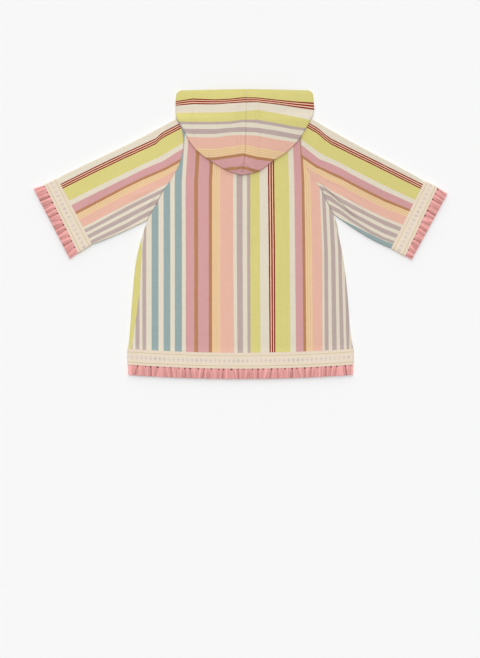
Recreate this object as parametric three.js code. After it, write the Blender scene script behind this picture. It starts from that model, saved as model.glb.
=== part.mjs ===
import * as THREE from "three";

// A child's hooded beach robe of striped woven cotton, laid flat on its fronts with the hood
// folded down over the back. Millimetres: X runs across the robe, Y from the hem to the hood,
// Z up from the surface that it lies on. The floor of the robe is Z 0.

// Walls and gaps
const CLOTH = 1.5; // striped cotton
const TRIM = 1.2; // woven tape, and the cloth of the pleated frills
const SEAM = 0.3; // between pieces that are sewn together
const TAPE_RISE = SEAM + TRIM; // how far a tape stands out from the cloth under it

// Height of the laid robe
const EDGE_TOP = 4.6; // top of the back and the sleeves at their folds and armholes
const MIDDLE_RISE = 0.9; // how much higher the middle of the back lies
const HEM_TOP = 5.6; // top of the back under the hem tape, where two tapes lift it
const SHOULDER_PINCH = 0.65; // back and front close up by this much each at the shoulder seam

// Neck and shoulders
const NECK = { middle: 7, half: 88, side: 257, back: 240, front: 195 };
const SHOULDER_SLOPE = 0.54;
const TOP_ROW = 233; // row of the body sections that bends into the neck and shoulders
const NECK_REACH = 110; // how far down the sections still bend with the neck
const UNDERARM = { left: 28, right: 40 }; // rows where armhole ends and side fold starts
const FOLD_TURN = 28; // length over which the front's side edge turns up into the fold

// Hem: rows at the centre, and how much higher the sides hang
const HEM = { top: -236.5, lap: -252, bottom: -268.3, frill: -288.8, rise: 8.2, reach: 70 };
const HALF_HEM = 225;

// Side seam: how far each front turns over its fold onto the back
const TURN_OVER = [
  { row: 0, left: 1.2, right: 1.2 },
  { row: -37, left: 6, right: 1.2 },
  { row: -81, left: 10, right: 1.2 },
  { row: -115, left: 10.8, right: 1.2 },
  { row: -157, left: 8.8, right: 1.2 },
  { row: -191, left: 6, right: 1.2 },
  { row: -236.5, left: 4, right: 1.2 },
];

// Frills: pleats across one layer, their height and how they lean
const PLEATS = { hemBack: 32, hemFront: 16, cuff: 12, height: 2.2, base: 4.9, calm: 12 };
const PLEAT_SHAPE = [
  { along: 0, height: 0 },
  { along: 0.32, height: 0.8 },
  { along: 0.58, height: 1 },
  { along: 0.82, height: 0.3 },
];

// Edges of the body from shoulder to hem: the armhole seam, then the side fold
const BODY = [
  { row: 233, left: -128, right: 137 },
  { row: 205, left: -116, right: 123 },
  { row: 178, left: -113.5, right: 120 },
  { row: 147, left: -120, right: 126 },
  { row: 118, left: -134, right: 141 },
  { row: 91, left: -152, right: 160 },
  { row: 60, left: -168, right: 175 },
  { row: 28, left: -186, right: 191 },
  { row: 0, left: -196, right: 196 },
  { row: -55, left: -210.5, right: 206.5 },
  { row: -127, left: -217.5, right: 214.5 },
  { row: -183, left: -221.5, right: 218.5 },
  { row: -236.5, left: -225, right: 225 },
];
const PANEL_ROWS = [233, 226, 206, 180, 154, 128, 102, 76, 52, 36, 24, 16, 8, 0, -30, -75, -120, -165];
const HEM_ROWS = [-205, HEM.top + 12, HEM.top, HEM.lap];
const BACK_COLUMNS = [
  0, 0.06, 0.12, 0.178, 0.24, 0.3, 0.35, 0.4, 0.455, 0.511, 0.567, 0.622, 0.678, 0.733, 0.789,
  0.845, 0.9, 0.95, 1,
];
const FRONT_COLUMNS = [0, 0.15, 0.3, 0.44, 0.56, 0.68, 0.84, 1];
const FOLD_STEPS = 4;

// Sleeves: the cuff lines from the top fold to the underarm fold, and how far each fold sags
const SLEEVES = {
  left: {
    sign: -1,
    bow: 0,
    topBow: 5,
    lines: [
      { name: "tape start", topX: -366.6, topY: 113, underX: -296.4, underY: -20.6 },
      { name: "tape end", topX: -392.5, topY: 100, underX: -323.8, underY: -38 },
      { name: "frill edge", topX: -414, topY: 92, underX: -341, underY: -49 },
    ],
  },
  right: {
    sign: 1,
    bow: 5,
    topBow: 4,
    lines: [
      { name: "tape start", topX: 368.5, topY: 107.5, underX: 300.6, underY: -28.6 },
      { name: "tape end", topX: 394.6, topY: 95.5, underX: 328.8, underY: -44 },
      { name: "frill edge", topX: 414, topY: 82, underX: 342, underY: -50.5 },
    ],
  },
};
// Sleeve sections: place 0 is the armhole, 1 the start of the tape, 2 its end
const SLEEVE_ROWS = [
  { at: 0, floor: 0, top: EDGE_TOP, inset: 0 },
  { at: 0.12, floor: 0, top: 4.9, inset: 0 },
  { at: 0.28, floor: 0, top: 5.1, inset: 0 },
  { at: 0.44, floor: 0, top: 5.1, inset: 0 },
  { at: 0.6, floor: 0, top: 5.1, inset: 0 },
  { at: 0.78, floor: 0, top: 5.1, inset: 0 },
  { at: 0.94, floor: 0, top: 5.2, inset: 0 },
  { at: 1, floor: TAPE_RISE, top: 5.3, inset: TAPE_RISE },
  { at: 1.45, floor: TAPE_RISE, top: 5.3, inset: TAPE_RISE },
  { at: 2, floor: TAPE_RISE, top: 5.3, inset: TAPE_RISE },
  { at: 3, floor: 0, top: PLEATS.base, inset: 0 },
];
const TAPE_ROWS = [1, 1.5, 2];
const CUFF_FRILL_ROWS = [1.5, 2, 3];
const TAPE_RUN = [0, 0.2, 0.4, 0.6, 0.8, 1];

// Hood halves: a section runs from the neckline, out to the side fold, and back to the centre
// seam. bendX and bendY steer the hidden layer clear of the shoulder, and gap is its plan gap
// to the front's neckline. Where gap is 0 it is sewn on top of the back's neckline instead.
const HOOD = {
  left: [
    { neckX: 6.5, gap: 0.6, bendX: -80, bendY: 296, foldX: -122.5, foldY: 288.6, seamX: 12, seamY: 289.4 },
    { neckX: -30, gap: 1, bendX: -86, bendY: 290, foldX: -129, foldY: 275, seamX: 12, seamY: 274 },
    { neckX: -63, gap: 4.5, bendX: -90, bendY: 284, foldX: -130, foldY: 254, seamX: 11.8, seamY: 257 },
    { neckX: -84, gap: 8.5, bendX: -106, bendY: 268, foldX: -129.8, foldY: 243, seamX: 11.5, seamY: 242 },
    { neckX: -79, gap: 0, bendX: -104, bendY: 250, foldX: -127, foldY: 231, seamX: 11.2, seamY: 228 },
    { neckX: -66, gap: 0, bendX: -90, bendY: 228, foldX: -117, foldY: 214, seamX: 11, seamY: 211 },
    { neckX: -48, gap: 0, bendX: -72, bendY: 210, foldX: -100, foldY: 182, seamX: 10.5, seamY: 187 },
    { neckX: -32, gap: 0, bendX: -50, bendY: 195, foldX: -79, foldY: 160, seamX: 9.5, seamY: 164 },
    { neckX: -18, gap: 0, bendX: -28, bendY: 185, foldX: -51, foldY: 141, seamX: 7.5, seamY: 145 },
    { neckX: -6, gap: 0, bendX: -10, bendY: 180, foldX: -24, foldY: 126, seamX: 5, seamY: 130 },
    { neckX: 5.5, gap: 0, bendX: 4.5, bendY: 180, foldX: 0.5, foldY: 117.6, seamX: 3, seamY: 123 },
  ],
  right: [
    { neckX: 7.5, gap: 0.6, bendX: 94, bendY: 296, foldX: 140.5, foldY: 288.6, seamX: 12, seamY: 289.4 },
    { neckX: 44, gap: 1, bendX: 100, bendY: 290, foldX: 145.4, foldY: 275, seamX: 12, seamY: 274 },
    { neckX: 77, gap: 6.5, bendX: 104, bendY: 284, foldX: 147, foldY: 256, seamX: 11.8, seamY: 257 },
    { neckX: 98, gap: 8.5, bendX: 120, bendY: 268, foldX: 147, foldY: 245, seamX: 11.5, seamY: 242 },
    { neckX: 93, gap: 0, bendX: 118, bendY: 250, foldX: 141, foldY: 231, seamX: 11.2, seamY: 228 },
    { neckX: 80, gap: 0, bendX: 104, bendY: 228, foldX: 131, foldY: 212, seamX: 11, seamY: 211 },
    { neckX: 62, gap: 0, bendX: 86, bendY: 210, foldX: 115, foldY: 187, seamX: 10.5, seamY: 187 },
    { neckX: 46, gap: 0, bendX: 64, bendY: 195, foldX: 92, foldY: 164, seamX: 9.5, seamY: 164 },
    { neckX: 32, gap: 0, bendX: 42, bendY: 185, foldX: 63, foldY: 145, seamX: 7.5, seamY: 145 },
    { neckX: 20, gap: 0, bendX: 24, bendY: 180, foldX: 37, foldY: 126, seamX: 5, seamY: 130 },
    { neckX: 6, gap: 0, bendX: 6.5, bendY: 180, foldX: 6.5, foldY: 117.4, seamX: 3, seamY: 123 },
  ],
};
const HOOD_FOLD = 2.6; // radius of the hood's side fold
const HOOD_PUFF = 9; // how far its upper layer stands off at the centre
const HOOD_STEPS = { under: 5, fold: 3, over: 5 };
const SHOULDER_DROP = 9; // the hood comes down from the back to the floor over this length

// Largest soft creases of the upper layer: a line, its half width and its height
const CREASES = [
  { x0: -95, y0: 120, x1: -60, y1: -60, half: 20, height: 0.9 },
  { x0: 90, y0: 110, x1: 105, y1: -90, half: 22, height: 0.9 },
  { x0: -150, y0: 20, x1: -110, y1: -150, half: 22, height: 0.8 },
  { x0: 30, y0: -40, x1: 10, y1: -200, half: 24, height: 0.8 },
  { x0: 168, y0: 10, x1: 150, y1: -160, half: 20, height: 0.9 },
  { x0: 177, y0: 92, x1: 245, y1: 26, half: 14, height: 1.2 },
  { x0: -178, y0: 96, x1: -250, y1: 52, half: 16, height: 0.9 },
  { x0: 210, y0: 128, x1: 320, y1: 66, half: 16, height: 0.8 },
  { x0: -230, y0: 120, x1: -320, y1: 68, half: 16, height: 0.8 },
];

const COLOURS = {
  cloth: new THREE.Color().setRGB(0.78, 0.66, 0.52, THREE.SRGBColorSpace),
  tape: new THREE.Color().setRGB(0.91, 0.86, 0.77, THREE.SRGBColorSpace),
  frill: new THREE.Color().setRGB(0.9, 0.63, 0.62, THREE.SRGBColorSpace),
};
const COTTON_ROUGHNESS = 0.92;

const mix = THREE.MathUtils.lerp;
const clamp = THREE.MathUtils.clamp;
const ease = THREE.MathUtils.smoothstep;
const robe = new THREE.Group();

// A named column of a table, read between its rows with smooth cubic steps
function column(table, key, name, at) {
  const rising = table[0][key] < table[table.length - 1][key];
  const rows = rising ? table : [...table].reverse();
  const place = clamp(at, rows[0][key], rows[rows.length - 1][key]);
  const i = clamp(rows.findIndex((row) => row[key] >= place) - 1, 0, rows.length - 2);
  const slope = (a, b) => (rows[b][name] - rows[a][name]) / (rows[b][key] - rows[a][key]);
  const step = rows[i + 1][key] - rows[i][key];
  const start = slope(Math.max(i - 1, 0), i + 1) * step;
  const end = slope(i, Math.min(i + 2, rows.length - 1)) * step;
  const f = (place - rows[i][key]) / step;
  const g = f * f * (3 - 2 * f);
  const bend = start * f * (1 - f) * (1 - f) - end * f * f * (1 - f);
  return mix(rows[i][name], rows[i + 1][name], g) + bend;
}

// A named column read straight between rows
function straight(table, key, name, at) {
  const i = clamp(table.findIndex((row) => row[key] >= at) - 1, 0, table.length - 2);
  const f = (at - table[i][key]) / (table[i + 1][key] - table[i][key]);
  return mix(table[i][name], table[i + 1][name], clamp(f, 0, 1));
}

// Height that the creases add at a place: each is a soft ridge that fades at both ends
function creaseRise(x, y) {
  return CREASES.reduce((sum, c) => {
    const dx = c.x1 - c.x0;
    const dy = c.y1 - c.y0;
    const long = Math.hypot(dx, dy);
    const f = ((x - c.x0) * dx + (y - c.y0) * dy) / (long * long);
    const off = Math.abs((x - c.x0) * dy - (y - c.y0) * dx) / long;
    const fade = ease(f, -0.1, 0.25) * (1 - ease(f, 0.75, 1.1));
    return sum + c.height * fade * (1 - ease(off, 0, c.half));
  }, 0);
}

// Unit normals of a grid of points: the sum of the normals of the quads that meet at each,
// every quad's being the cross product of its diagonals
function normals(grid, closed) {
  const n = grid.length;
  const out = grid.map((line) => line.map(() => new THREE.Vector3()));
  for (let i = 0; i < (closed ? n : n - 1); i++) {
    const next = (i + 1) % n;
    for (let j = 0; j < grid[0].length - 1; j++) {
      const down = grid[next][j + 1].clone().sub(grid[i][j]);
      const up = grid[i][j + 1].clone().sub(grid[next][j]);
      const face = down.cross(up);
      [out[i][j], out[next][j], out[i][j + 1], out[next][j + 1]].forEach((v) => v.add(face));
    }
  }
  return out.map((line) => line.map((v) => v.normalize()));
}

// One closed wall over a grid of points: both skins lie along the normals at the two offsets,
// and strips join their rims. facing is 1 or -1, for the side the normals should point to.
function addWall(name, colour, grid, { inner, outer, closed = false, facing = 1 }) {
  const n = grid.length;
  const m = grid[0].length;
  const out = normals(grid, closed);
  const skin = (offset) =>
    grid.flatMap((line, i) =>
      line.map((p, j) => p.clone().addScaledVector(out[i][j], facing * offset)),
    );
  const points = [...skin(outer), ...skin(inner)];
  const at = (i, j, side) => side * n * m + (i % n) * m + j;
  const faces = [];
  const quad = (a, b, c, d) => faces.push(a, b, d, b, c, d);
  const columns = closed ? n : n - 1;
  for (let i = 0; i < columns; i++) {
    for (let j = 0; j < m - 1; j++) {
      quad(at(i, j, 0), at(i + 1, j, 0), at(i + 1, j + 1, 0), at(i, j + 1, 0));
      quad(at(i, j, 1), at(i, j + 1, 1), at(i + 1, j + 1, 1), at(i + 1, j, 1));
    }
    quad(at(i, 0, 1), at(i + 1, 0, 1), at(i + 1, 0, 0), at(i, 0, 0));
    quad(at(i, m - 1, 0), at(i + 1, m - 1, 0), at(i + 1, m - 1, 1), at(i, m - 1, 1));
  }
  if (!closed) {
    for (let j = 0; j < m - 1; j++) {
      quad(at(0, j, 0), at(0, j + 1, 0), at(0, j + 1, 1), at(0, j, 1));
      quad(at(n - 1, j, 1), at(n - 1, j + 1, 1), at(n - 1, j + 1, 0), at(n - 1, j, 0));
    }
  }
  if (facing < 0) faces.reverse();
  const shape = new THREE.BufferGeometry();
  shape.setAttribute("position", new THREE.Float32BufferAttribute(points.flatMap((p) => p.toArray()), 3));
  shape.setIndex(faces);
  shape.computeVertexNormals();
  const cloth = new THREE.MeshStandardMaterial({ color: colour, roughness: COTTON_ROUGHNESS, metalness: 0 });
  const mesh = new THREE.Mesh(shape, cloth);
  mesh.name = name;
  robe.add(mesh);
}

// Body

// Y of the neck and shoulder edge at an X: a curve between the neck sides, then a slope
function neckEdge(x, middle, power) {
  const q = Math.abs(x - NECK.middle) / NECK.half;
  if (q > 1) return NECK.side - SHOULDER_SLOPE * (q - 1) * NECK.half;
  return mix(middle, NECK.side, q ** power);
}
const backNeck = (x) => neckEdge(x, NECK.back, 2);
const frontNeck = (x) => neckEdge(x, NECK.front, 2.2);

// Y of a body row at an X: rows bend into the neck edge at the top and the hem curve below
function rowY(x, row, edge) {
  const near = clamp(1 - (TOP_ROW - row) / NECK_REACH, 0, 1);
  const low = clamp(1 - (row - HEM.top) / HEM.reach, 0, 1);
  const hem = HEM.rise * (x / HALF_HEM) ** 2;
  return row + (edge(x) - TOP_ROW) * near * near + hem * low * low;
}
const sideX = (side, row) => column(BODY, "row", side, row);

// How far the fronts and the back are lifted by the tapes, 0 above the hem and 1 at it
const hemLift = (row) => 1 - ease(row, HEM.top, HEM.top + 12);
// How far a frill has left the tape, 0 at the tape's edge and 1 at the free edge
const frillOut = (row) => clamp((HEM.bottom - row) / (HEM.bottom - HEM.frill), 0, 1);

const bodyFloor = (row) => mix(TAPE_RISE * hemLift(row), 0, frillOut(row));
const bodyEdgeTop = (row) => mix(mix(EDGE_TOP, HEM_TOP, hemLift(row)), PLEATS.base, frillOut(row));

// Top of the back at a place: it rises gently from the edges, and with the creases
function backTop(x, y, row) {
  const inwards = Math.min(x - sideX("left", row), sideX("right", row) - x);
  const calm = ease(inwards, 8, 60) * ease(row, HEM.top, HEM.top + 45);
  const pinch = SHOULDER_PINCH * ease(row, TOP_ROW - 7, TOP_ROW);
  return bodyEdgeTop(row) + (MIDDLE_RISE + creaseRise(x, y)) * calm - pinch;
}

// Pleat height at a count of pleats along a frill, each a little unlike the next
function pleatRise(count) {
  const whole = Math.floor(count + 1e-6);
  const uneven = 0.82 + 0.18 * Math.sin(whole * 2.4 + 0.7 * Math.sin(whole * 1.3));
  const table = [...PLEAT_SHAPE, { along: 1, height: 0 }];
  return PLEATS.height * uneven * straight(table, "along", "height", count - whole);
}
const pleatStations = (pleats) =>
  Array.from({ length: pleats }, (_, i) => PLEAT_SHAPE.map((p) => i + p.along)).flat().concat(pleats);

// How far round its fold a front's side edge has turned: it lies flat at the armhole
const turned = (side, row) => Math.PI * clamp((UNDERARM[side] - row) / FOLD_TURN, 0, 1);
const turnOver = (side, row) => column(TURN_OVER, "row", side, row);

// Section of a front from the centre front to its seam on the back: a flat run, the side fold
// as an arc, and the turn-over on top. rise(x) lifts the run, for pleats.
function frontSection(side, row, columns, rise) {
  const sign = side === "left" ? -1 : 1;
  const floor = bodyFloor(row);
  const radius = (bodyEdgeTop(row) - floor) / 2;
  const angle = turned(side, row);
  const slack = 0.5 * (1 - angle / Math.PI);
  const outline = sideX(side, row) * sign;
  const middle = (NECK.middle * clamp((row + 240) / 470, 0, 1)) * sign + SEAM / 2;
  const overhang = turnOver(side, row) * Math.max(Math.cos(angle), 0);
  const reach = radius * Math.sin(Math.min(angle, Math.PI / 2)) + slack * FOLD_STEPS;
  const centre = outline - reach - overhang;
  const put = (across, z) => {
    const x = sign * across;
    return new THREE.Vector3(x, rowY(x, row, frontNeck), z);
  };
  const pinch = (x) =>
    SHOULDER_PINCH * ease(row, TOP_ROW - 7, TOP_ROW) * ease(Math.abs(x - NECK.middle), 70, NECK.half);
  const run = columns.map((f) => {
    const across = mix(middle, centre, f);
    return put(across, floor + pinch(sign * across) + rise(f, centre - middle));
  });
  const fold = [];
  for (let k = 1; k <= FOLD_STEPS; k++) {
    const a = (angle * k) / FOLD_STEPS;
    fold.push(put(centre + radius * Math.sin(a) + slack * k, floor + radius * (1 - Math.cos(a))));
  }
  const last = fold[fold.length - 1];
  const over = [0.5, 1].map((f) => {
    const length = turnOver(side, row) * f;
    return put(last.x * sign + length * Math.cos(angle), last.z + length * Math.sin(angle));
  });
  return [...run, ...fold, ...over];
}

// Section of the back between the seams: from the left turn-over to the right side fold
function backSection(row, columns, rise) {
  const radius = (bodyEdgeTop(row) - bodyFloor(row)) / 2;
  const seam = (side) => {
    const fold = ease(UNDERARM[side] - row, 0, FOLD_TURN);
    return fold * (radius + turnOver(side, row) + 3 * SEAM);
  };
  const left = sideX("left", row) + seam("left");
  const right = sideX("right", row) - seam("right");
  return columns.map((f) => {
    const x = mix(left, right, f);
    const y = rowY(x, row, backNeck);
    return new THREE.Vector3(x, y, backTop(x, y, row) + rise(f, right - left));
  });
}

const turnGrid = (rows) => rows[0].map((_, i) => rows.map((row) => row[i]));
const noRise = () => 0;

function addBody() {
  const rows = [...PANEL_ROWS, ...HEM_ROWS];
  const cloth = { inner: -CLOTH, outer: 0 };
  const back = turnGrid(rows.map((row) => backSection(row, BACK_COLUMNS, noRise)));
  addWall("back", COLOURS.cloth, back, { ...cloth, facing: -1 });
  for (const side of ["left", "right"]) {
    const front = turnGrid(rows.map((row) => frontSection(side, row, FRONT_COLUMNS, noRise)));
    const facing = side === "left" ? -1 : 1;
    addWall("front_" + side, COLOURS.cloth, front, { ...cloth, facing });
  }
}

// Hem tape: a band on the body's own points, moved out
function addHemTape() {
  const rows = [HEM.top, HEM.lap, HEM.bottom];
  const band = { inner: SEAM, outer: TAPE_RISE };
  const back = turnGrid(rows.map((row) => backSection(row, BACK_COLUMNS, noRise)));
  addWall("hem_tape_back", COLOURS.tape, back, { ...band, facing: -1 });
  for (const side of ["left", "right"]) {
    const front = turnGrid(rows.map((row) => frontSection(side, row, FRONT_COLUMNS, noRise)));
    const facing = side === "left" ? -1 : 1;
    addWall("hem_tape_front_" + side, COLOURS.tape, front, { ...band, facing });
  }
}

// Hem frill: its head lies under the tape beside the panel's edge, and its pleats open below
function addHemFrill() {
  const rows = [HEM.lap - SEAM, HEM.bottom, HEM.frill];
  const frill = { inner: -TRIM, outer: 0 };
  const pleated = (pleats, row) => (f, width) => {
    const ends = ease(f * width, 0, PLEATS.calm) * ease((1 - f) * width, 0, PLEATS.calm);
    return pleatRise(f * pleats) * frillOut(row) * ends;
  };
  const columnsOf = (pleats) => pleatStations(pleats).map((s) => s / pleats);
  const backColumns = columnsOf(PLEATS.hemBack);
  const back = turnGrid(rows.map((row) => backSection(row, backColumns, pleated(PLEATS.hemBack, row))));
  addWall("hem_frill_back", COLOURS.frill, back, { ...frill, facing: -1 });
  for (const side of ["left", "right"]) {
    const columns = columnsOf(PLEATS.hemFront);
    const rise = (row) => pleated(PLEATS.hemFront, row);
    const front = turnGrid(rows.map((row) => frontSection(side, row, columns, rise(row))));
    const facing = side === "left" ? -1 : 1;
    addWall("hem_frill_front_" + side, COLOURS.frill, front, { ...frill, facing });
  }
}

// Sleeves

// Plan point of a sleeve: across is 0 at the top fold and 1 at the underarm fold. It runs
// straight from the armhole seam to the first cuff line, and on to the next ones.
function sleevePlan(side, across, at) {
  const { sign, bow, topBow, lines } = SLEEVES[side];
  const onLine = (line) => [mix(line.topX, line.underX, across), mix(line.topY, line.underY, across)];
  if (at >= 1) {
    const i = Math.min(Math.floor(at) - 1, lines.length - 2);
    const [x0, y0] = onLine(lines[i]);
    const [x1, y1] = onLine(lines[i + 1]);
    return [mix(x0, x1, at - 1 - i), mix(y0, y1, at - 1 - i)];
  }
  const row = mix(TOP_ROW, UNDERARM[side], across);
  const seamX = sideX(side, row);
  const [x1, y1] = onLine(lines[0]);
  const topSag = topBow * (1 - at) * (1 - across) ** 2;
  const sag = Math.sin(Math.PI * at) * (bow * across ** 2 + topSag);
  return [mix(seamX + sign * SEAM * 1.5, x1, at), mix(rowY(seamX, row, backNeck), y1, at) - sag];
}

// Ring section of a sleeve: the floor run, the underarm fold, the upper run and the top fold.
// rise(f) lifts both runs, for pleats.
function sleeveSection(side, at, runs, rise) {
  const [ax, ay] = sleevePlan(side, 0, at);
  const [bx, by] = sleevePlan(side, 1, at);
  const width = Math.hypot(bx - ax, by - ay);
  const floor = straight(SLEEVE_ROWS, "at", "floor", at);
  const top = straight(SLEEVE_ROWS, "at", "top", at);
  const inset = straight(SLEEVE_ROWS, "at", "inset", at);
  const radius = (top - floor) / 2;
  const first = inset + radius;
  const last = width - inset - radius;
  const put = (along, z) => {
    const [x, y] = sleevePlan(side, along / width, at);
    return new THREE.Vector3(x, y, z);
  };
  const crease = (p) => {
    p.z += creaseRise(p.x, p.y) * (1 - ease(at, 0.85, 1)) * ease(at, 0, 0.12);
    return p;
  };
  const arc = (centre, sign) =>
    Array.from({ length: FOLD_STEPS - 1 }, (_, k) => {
      const a = (Math.PI * (k + 1)) / FOLD_STEPS;
      return put(centre + sign * radius * Math.sin(a), floor + radius * (1 - sign * Math.cos(a)));
    });
  const lower = runs.map((f) => put(mix(first, last, f), floor + rise(f)));
  const upper = [...runs].reverse().map((f) => crease(put(mix(first, last, f), top + rise(f))));
  return [...lower, ...arc(last, 1), ...upper, ...arc(first, -1)];
}

// Places along a sleeve's runs that meet the body's own rows at the armhole
function armholeRun(side) {
  const [ax, ay] = sleevePlan(side, 0, 0);
  const [bx, by] = sleevePlan(side, 1, 0);
  const width = Math.hypot(bx - ax, by - ay);
  const radius = EDGE_TOP / 2;
  const rows = PANEL_ROWS.filter((row) => row < TOP_ROW - 10 && row > UNDERARM[side] + 10);
  const places = rows.map((row) => (TOP_ROW - row) / (TOP_ROW - UNDERARM[side]));
  return [0, ...places.map((a) => (a * width - radius) / (width - 2 * radius)), 1];
}

function addSleeve(side) {
  const facing = -SLEEVES[side].sign;
  const clothRows = SLEEVE_ROWS.map((row) => row.at).filter((at) => at < 1.5);
  const grid = turnGrid(clothRows.map((at) => sleeveSection(side, at, armholeRun(side), noRise)));
  addWall("sleeve_" + side, COLOURS.cloth, grid, { inner: -CLOTH, outer: 0, closed: true, facing });

  const band = turnGrid(TAPE_ROWS.map((at) => sleeveSection(side, at, TAPE_RUN, noRise)));
  const bandWall = { inner: SEAM, outer: TAPE_RISE, closed: true, facing };
  addWall("cuff_tape_" + side, COLOURS.tape, band, bandWall);

  const runs = pleatStations(PLEATS.cuff).map((s) => s / PLEATS.cuff);
  const calm = 0.06;
  const frill = turnGrid(
    CUFF_FRILL_ROWS.map((at) =>
      sleeveSection(side, at, runs, (f) => {
        const ends = ease(f, 0, calm) * ease(1 - f, 0, calm);
        return pleatRise(f * PLEATS.cuff) * Math.max(at - 2, 0) * ends;
      }),
    ),
  );
  addWall("cuff_frill_" + side, COLOURS.frill, frill, { inner: -TRIM, outer: 0, closed: true, facing });
}

// Hood

// Underside of the hood's hidden layer: on the floor beyond the shoulders, else on the back
function hoodUnder(x, y, onFloor) {
  if (onFloor) return 0;
  const beyond = y - backNeck(x);
  const row = clamp(y, HEM.top, TOP_ROW - 8);
  const onBack = backTop(clamp(x, sideX("left", row), sideX("right", row)), y, row) + 2 * SEAM;
  return onBack * (1 - ease(beyond, 1.5, SHOULDER_DROP));
}

function hoodSection(side, index) {
  const row = HOOD[side][index];
  const sign = side === "left" ? -1 : 1;
  const onFloor = row.gap > 0;
  const neck = onFloor ? frontNeck(row.neckX) + row.gap : backNeck(row.neckX);
  const seam = new THREE.Vector2(row.seamX + (sign * SEAM) / 2, row.seamY);
  const fold = new THREE.Vector2(row.foldX, row.foldY);
  const start = new THREE.Vector2(row.neckX, neck);
  const bend = new THREE.Vector2(row.bendX, row.bendY);
  const inward = start.clone().sub(fold).normalize().add(seam.clone().sub(fold).normalize()).normalize();
  const centre = fold.clone().addScaledVector(inward, HOOD_FOLD);
  const base = hoodUnder(centre.x, centre.y, onFloor);
  const path = new THREE.QuadraticBezierCurve(start, bend, centre);
  const line = [];
  for (let k = 0; k <= HOOD_STEPS.under; k++) {
    const f = k / HOOD_STEPS.under;
    const p = path.getPoint(f);
    line.push(new THREE.Vector3(p.x, p.y, mix(hoodUnder(p.x, p.y, onFloor), base, f ** 3)));
  }
  for (let k = 1; k <= HOOD_STEPS.fold; k++) {
    const a = (Math.PI * k) / (HOOD_STEPS.fold + 1);
    const p = centre.clone().addScaledVector(inward, -HOOD_FOLD * Math.sin(a));
    line.push(new THREE.Vector3(p.x, p.y, base + HOOD_FOLD * (1 - Math.cos(a))));
  }
  const length = index / (HOOD[side].length - 1);
  const puff = HOOD_PUFF * Math.sin(Math.PI * mix(0.36, 1, length) ** 1.6);
  const crown = hoodUnder(row.seamX, Math.min(row.seamY, NECK.back - 4), false) + 2 * HOOD_FOLD;
  for (let k = 0; k <= HOOD_STEPS.over; k++) {
    const f = k / HOOD_STEPS.over;
    const p = centre.clone().lerp(seam, f);
    const swell = Math.sin((Math.PI / 2) * f);
    line.push(new THREE.Vector3(p.x, p.y, mix(base + 2 * HOOD_FOLD, crown, f) + puff * swell));
  }
  return line;
}

function addHood(side) {
  const grid = turnGrid(HOOD[side].map((_, i) => hoodSection(side, i)));
  const facing = side === "left" ? -1 : 1;
  addWall("hood_" + side, COLOURS.cloth, grid, { inner: -CLOTH, outer: 0, facing });
}

addBody();
addHemTape();
addHemFrill();
for (const side of ["left", "right"]) {
  addSleeve(side);
  addHood(side);
}

export default robe;
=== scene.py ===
"""A child's hooded beach robe of striped woven cotton, laid flat with its back up.

Every piece of the cut is a thin shell of cloth on its solid's own form. The forms are worked out
in millimetres, X across the robe, Y from hem to hood and Z up, and are set in metres at the end.
"""

import bpy
import numpy as np
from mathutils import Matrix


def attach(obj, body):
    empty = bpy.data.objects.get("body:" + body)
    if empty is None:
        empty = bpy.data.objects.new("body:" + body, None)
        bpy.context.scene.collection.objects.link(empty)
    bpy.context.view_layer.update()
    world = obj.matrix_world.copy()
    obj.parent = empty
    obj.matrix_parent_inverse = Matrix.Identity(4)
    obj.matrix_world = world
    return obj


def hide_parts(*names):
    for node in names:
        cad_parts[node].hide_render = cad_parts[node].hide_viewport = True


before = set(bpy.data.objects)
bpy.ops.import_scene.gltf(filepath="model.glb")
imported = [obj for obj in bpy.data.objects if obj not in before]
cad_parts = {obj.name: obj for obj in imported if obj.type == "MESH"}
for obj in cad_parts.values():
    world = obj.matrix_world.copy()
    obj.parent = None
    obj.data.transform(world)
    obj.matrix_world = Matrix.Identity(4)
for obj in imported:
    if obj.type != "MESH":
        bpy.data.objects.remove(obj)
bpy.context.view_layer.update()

MM = 0.001
SIGN = {"left": -1, "right": 1}
# Where the camera stands, straight above the robe
EYE = (-1, -189, 4003)

# Cloth thicknesses, and the steps between layers
COTTON = 0.8
TAPE = 0.8
FRILL = 0.6
SEAM = 0.3
SIDE_GAP = 0.1
TAPE_RISE = 1.5
TAPE_LIFT = SEAM + 0.3
TAPE_WIDTH = 31.8
# Thread: length of a stitch, distance to the next and thickness
STITCH, STITCH_PITCH, THREAD = 2.3, 3.2, 0.5

# Heights of the laid robe
EDGE_TOP = 4.6
MIDDLE_RISE = 0.9
HEM_TOP = 5.6
FRILL_BASE = 4.9
SHOULDER_PINCH = 0.65

# Neck, shoulders, armhole and hem
NECK_MIDDLE, NECK_HALF, NECK_SIDE, NECK_BACK, NECK_FRONT = 7, 88, 257, 240, 195
SHOULDER_SLOPE = 0.54
TOP_ROW, FOLD_TURN, NECK_REACH = 233, 28, 110
# Rows between which the armhole seam lies calm
CALM_SEAM = {"left": (84, 168), "right": (80, 158)}
UNDERARM = {"left": 28, "right": 40}
HEM_ROW, HEM_LAP, HEM_BOTTOM, HEM_END = -236.5, -252, -268.3, -288.8
HEM_CURVE, HEM_REACH, HALF_HEM, HEM_RISE = 8.2, 70, 225, 12
# Steps round the fold of a front and along what turns over
FOLD_STEPS, OVER_STEPS = 10, 5
# How far each front turns over its side fold: row, left and right
TURN_OVER = np.array([
    (-236.5, 4, 1.2), (-191, 6, 1.2), (-157, 8.8, 1.2), (-115, 10.8, 1.2), (-81, 10, 1.2),
    (-37, 6, 1.2), (0, 1.2, 1.2),
])

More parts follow.
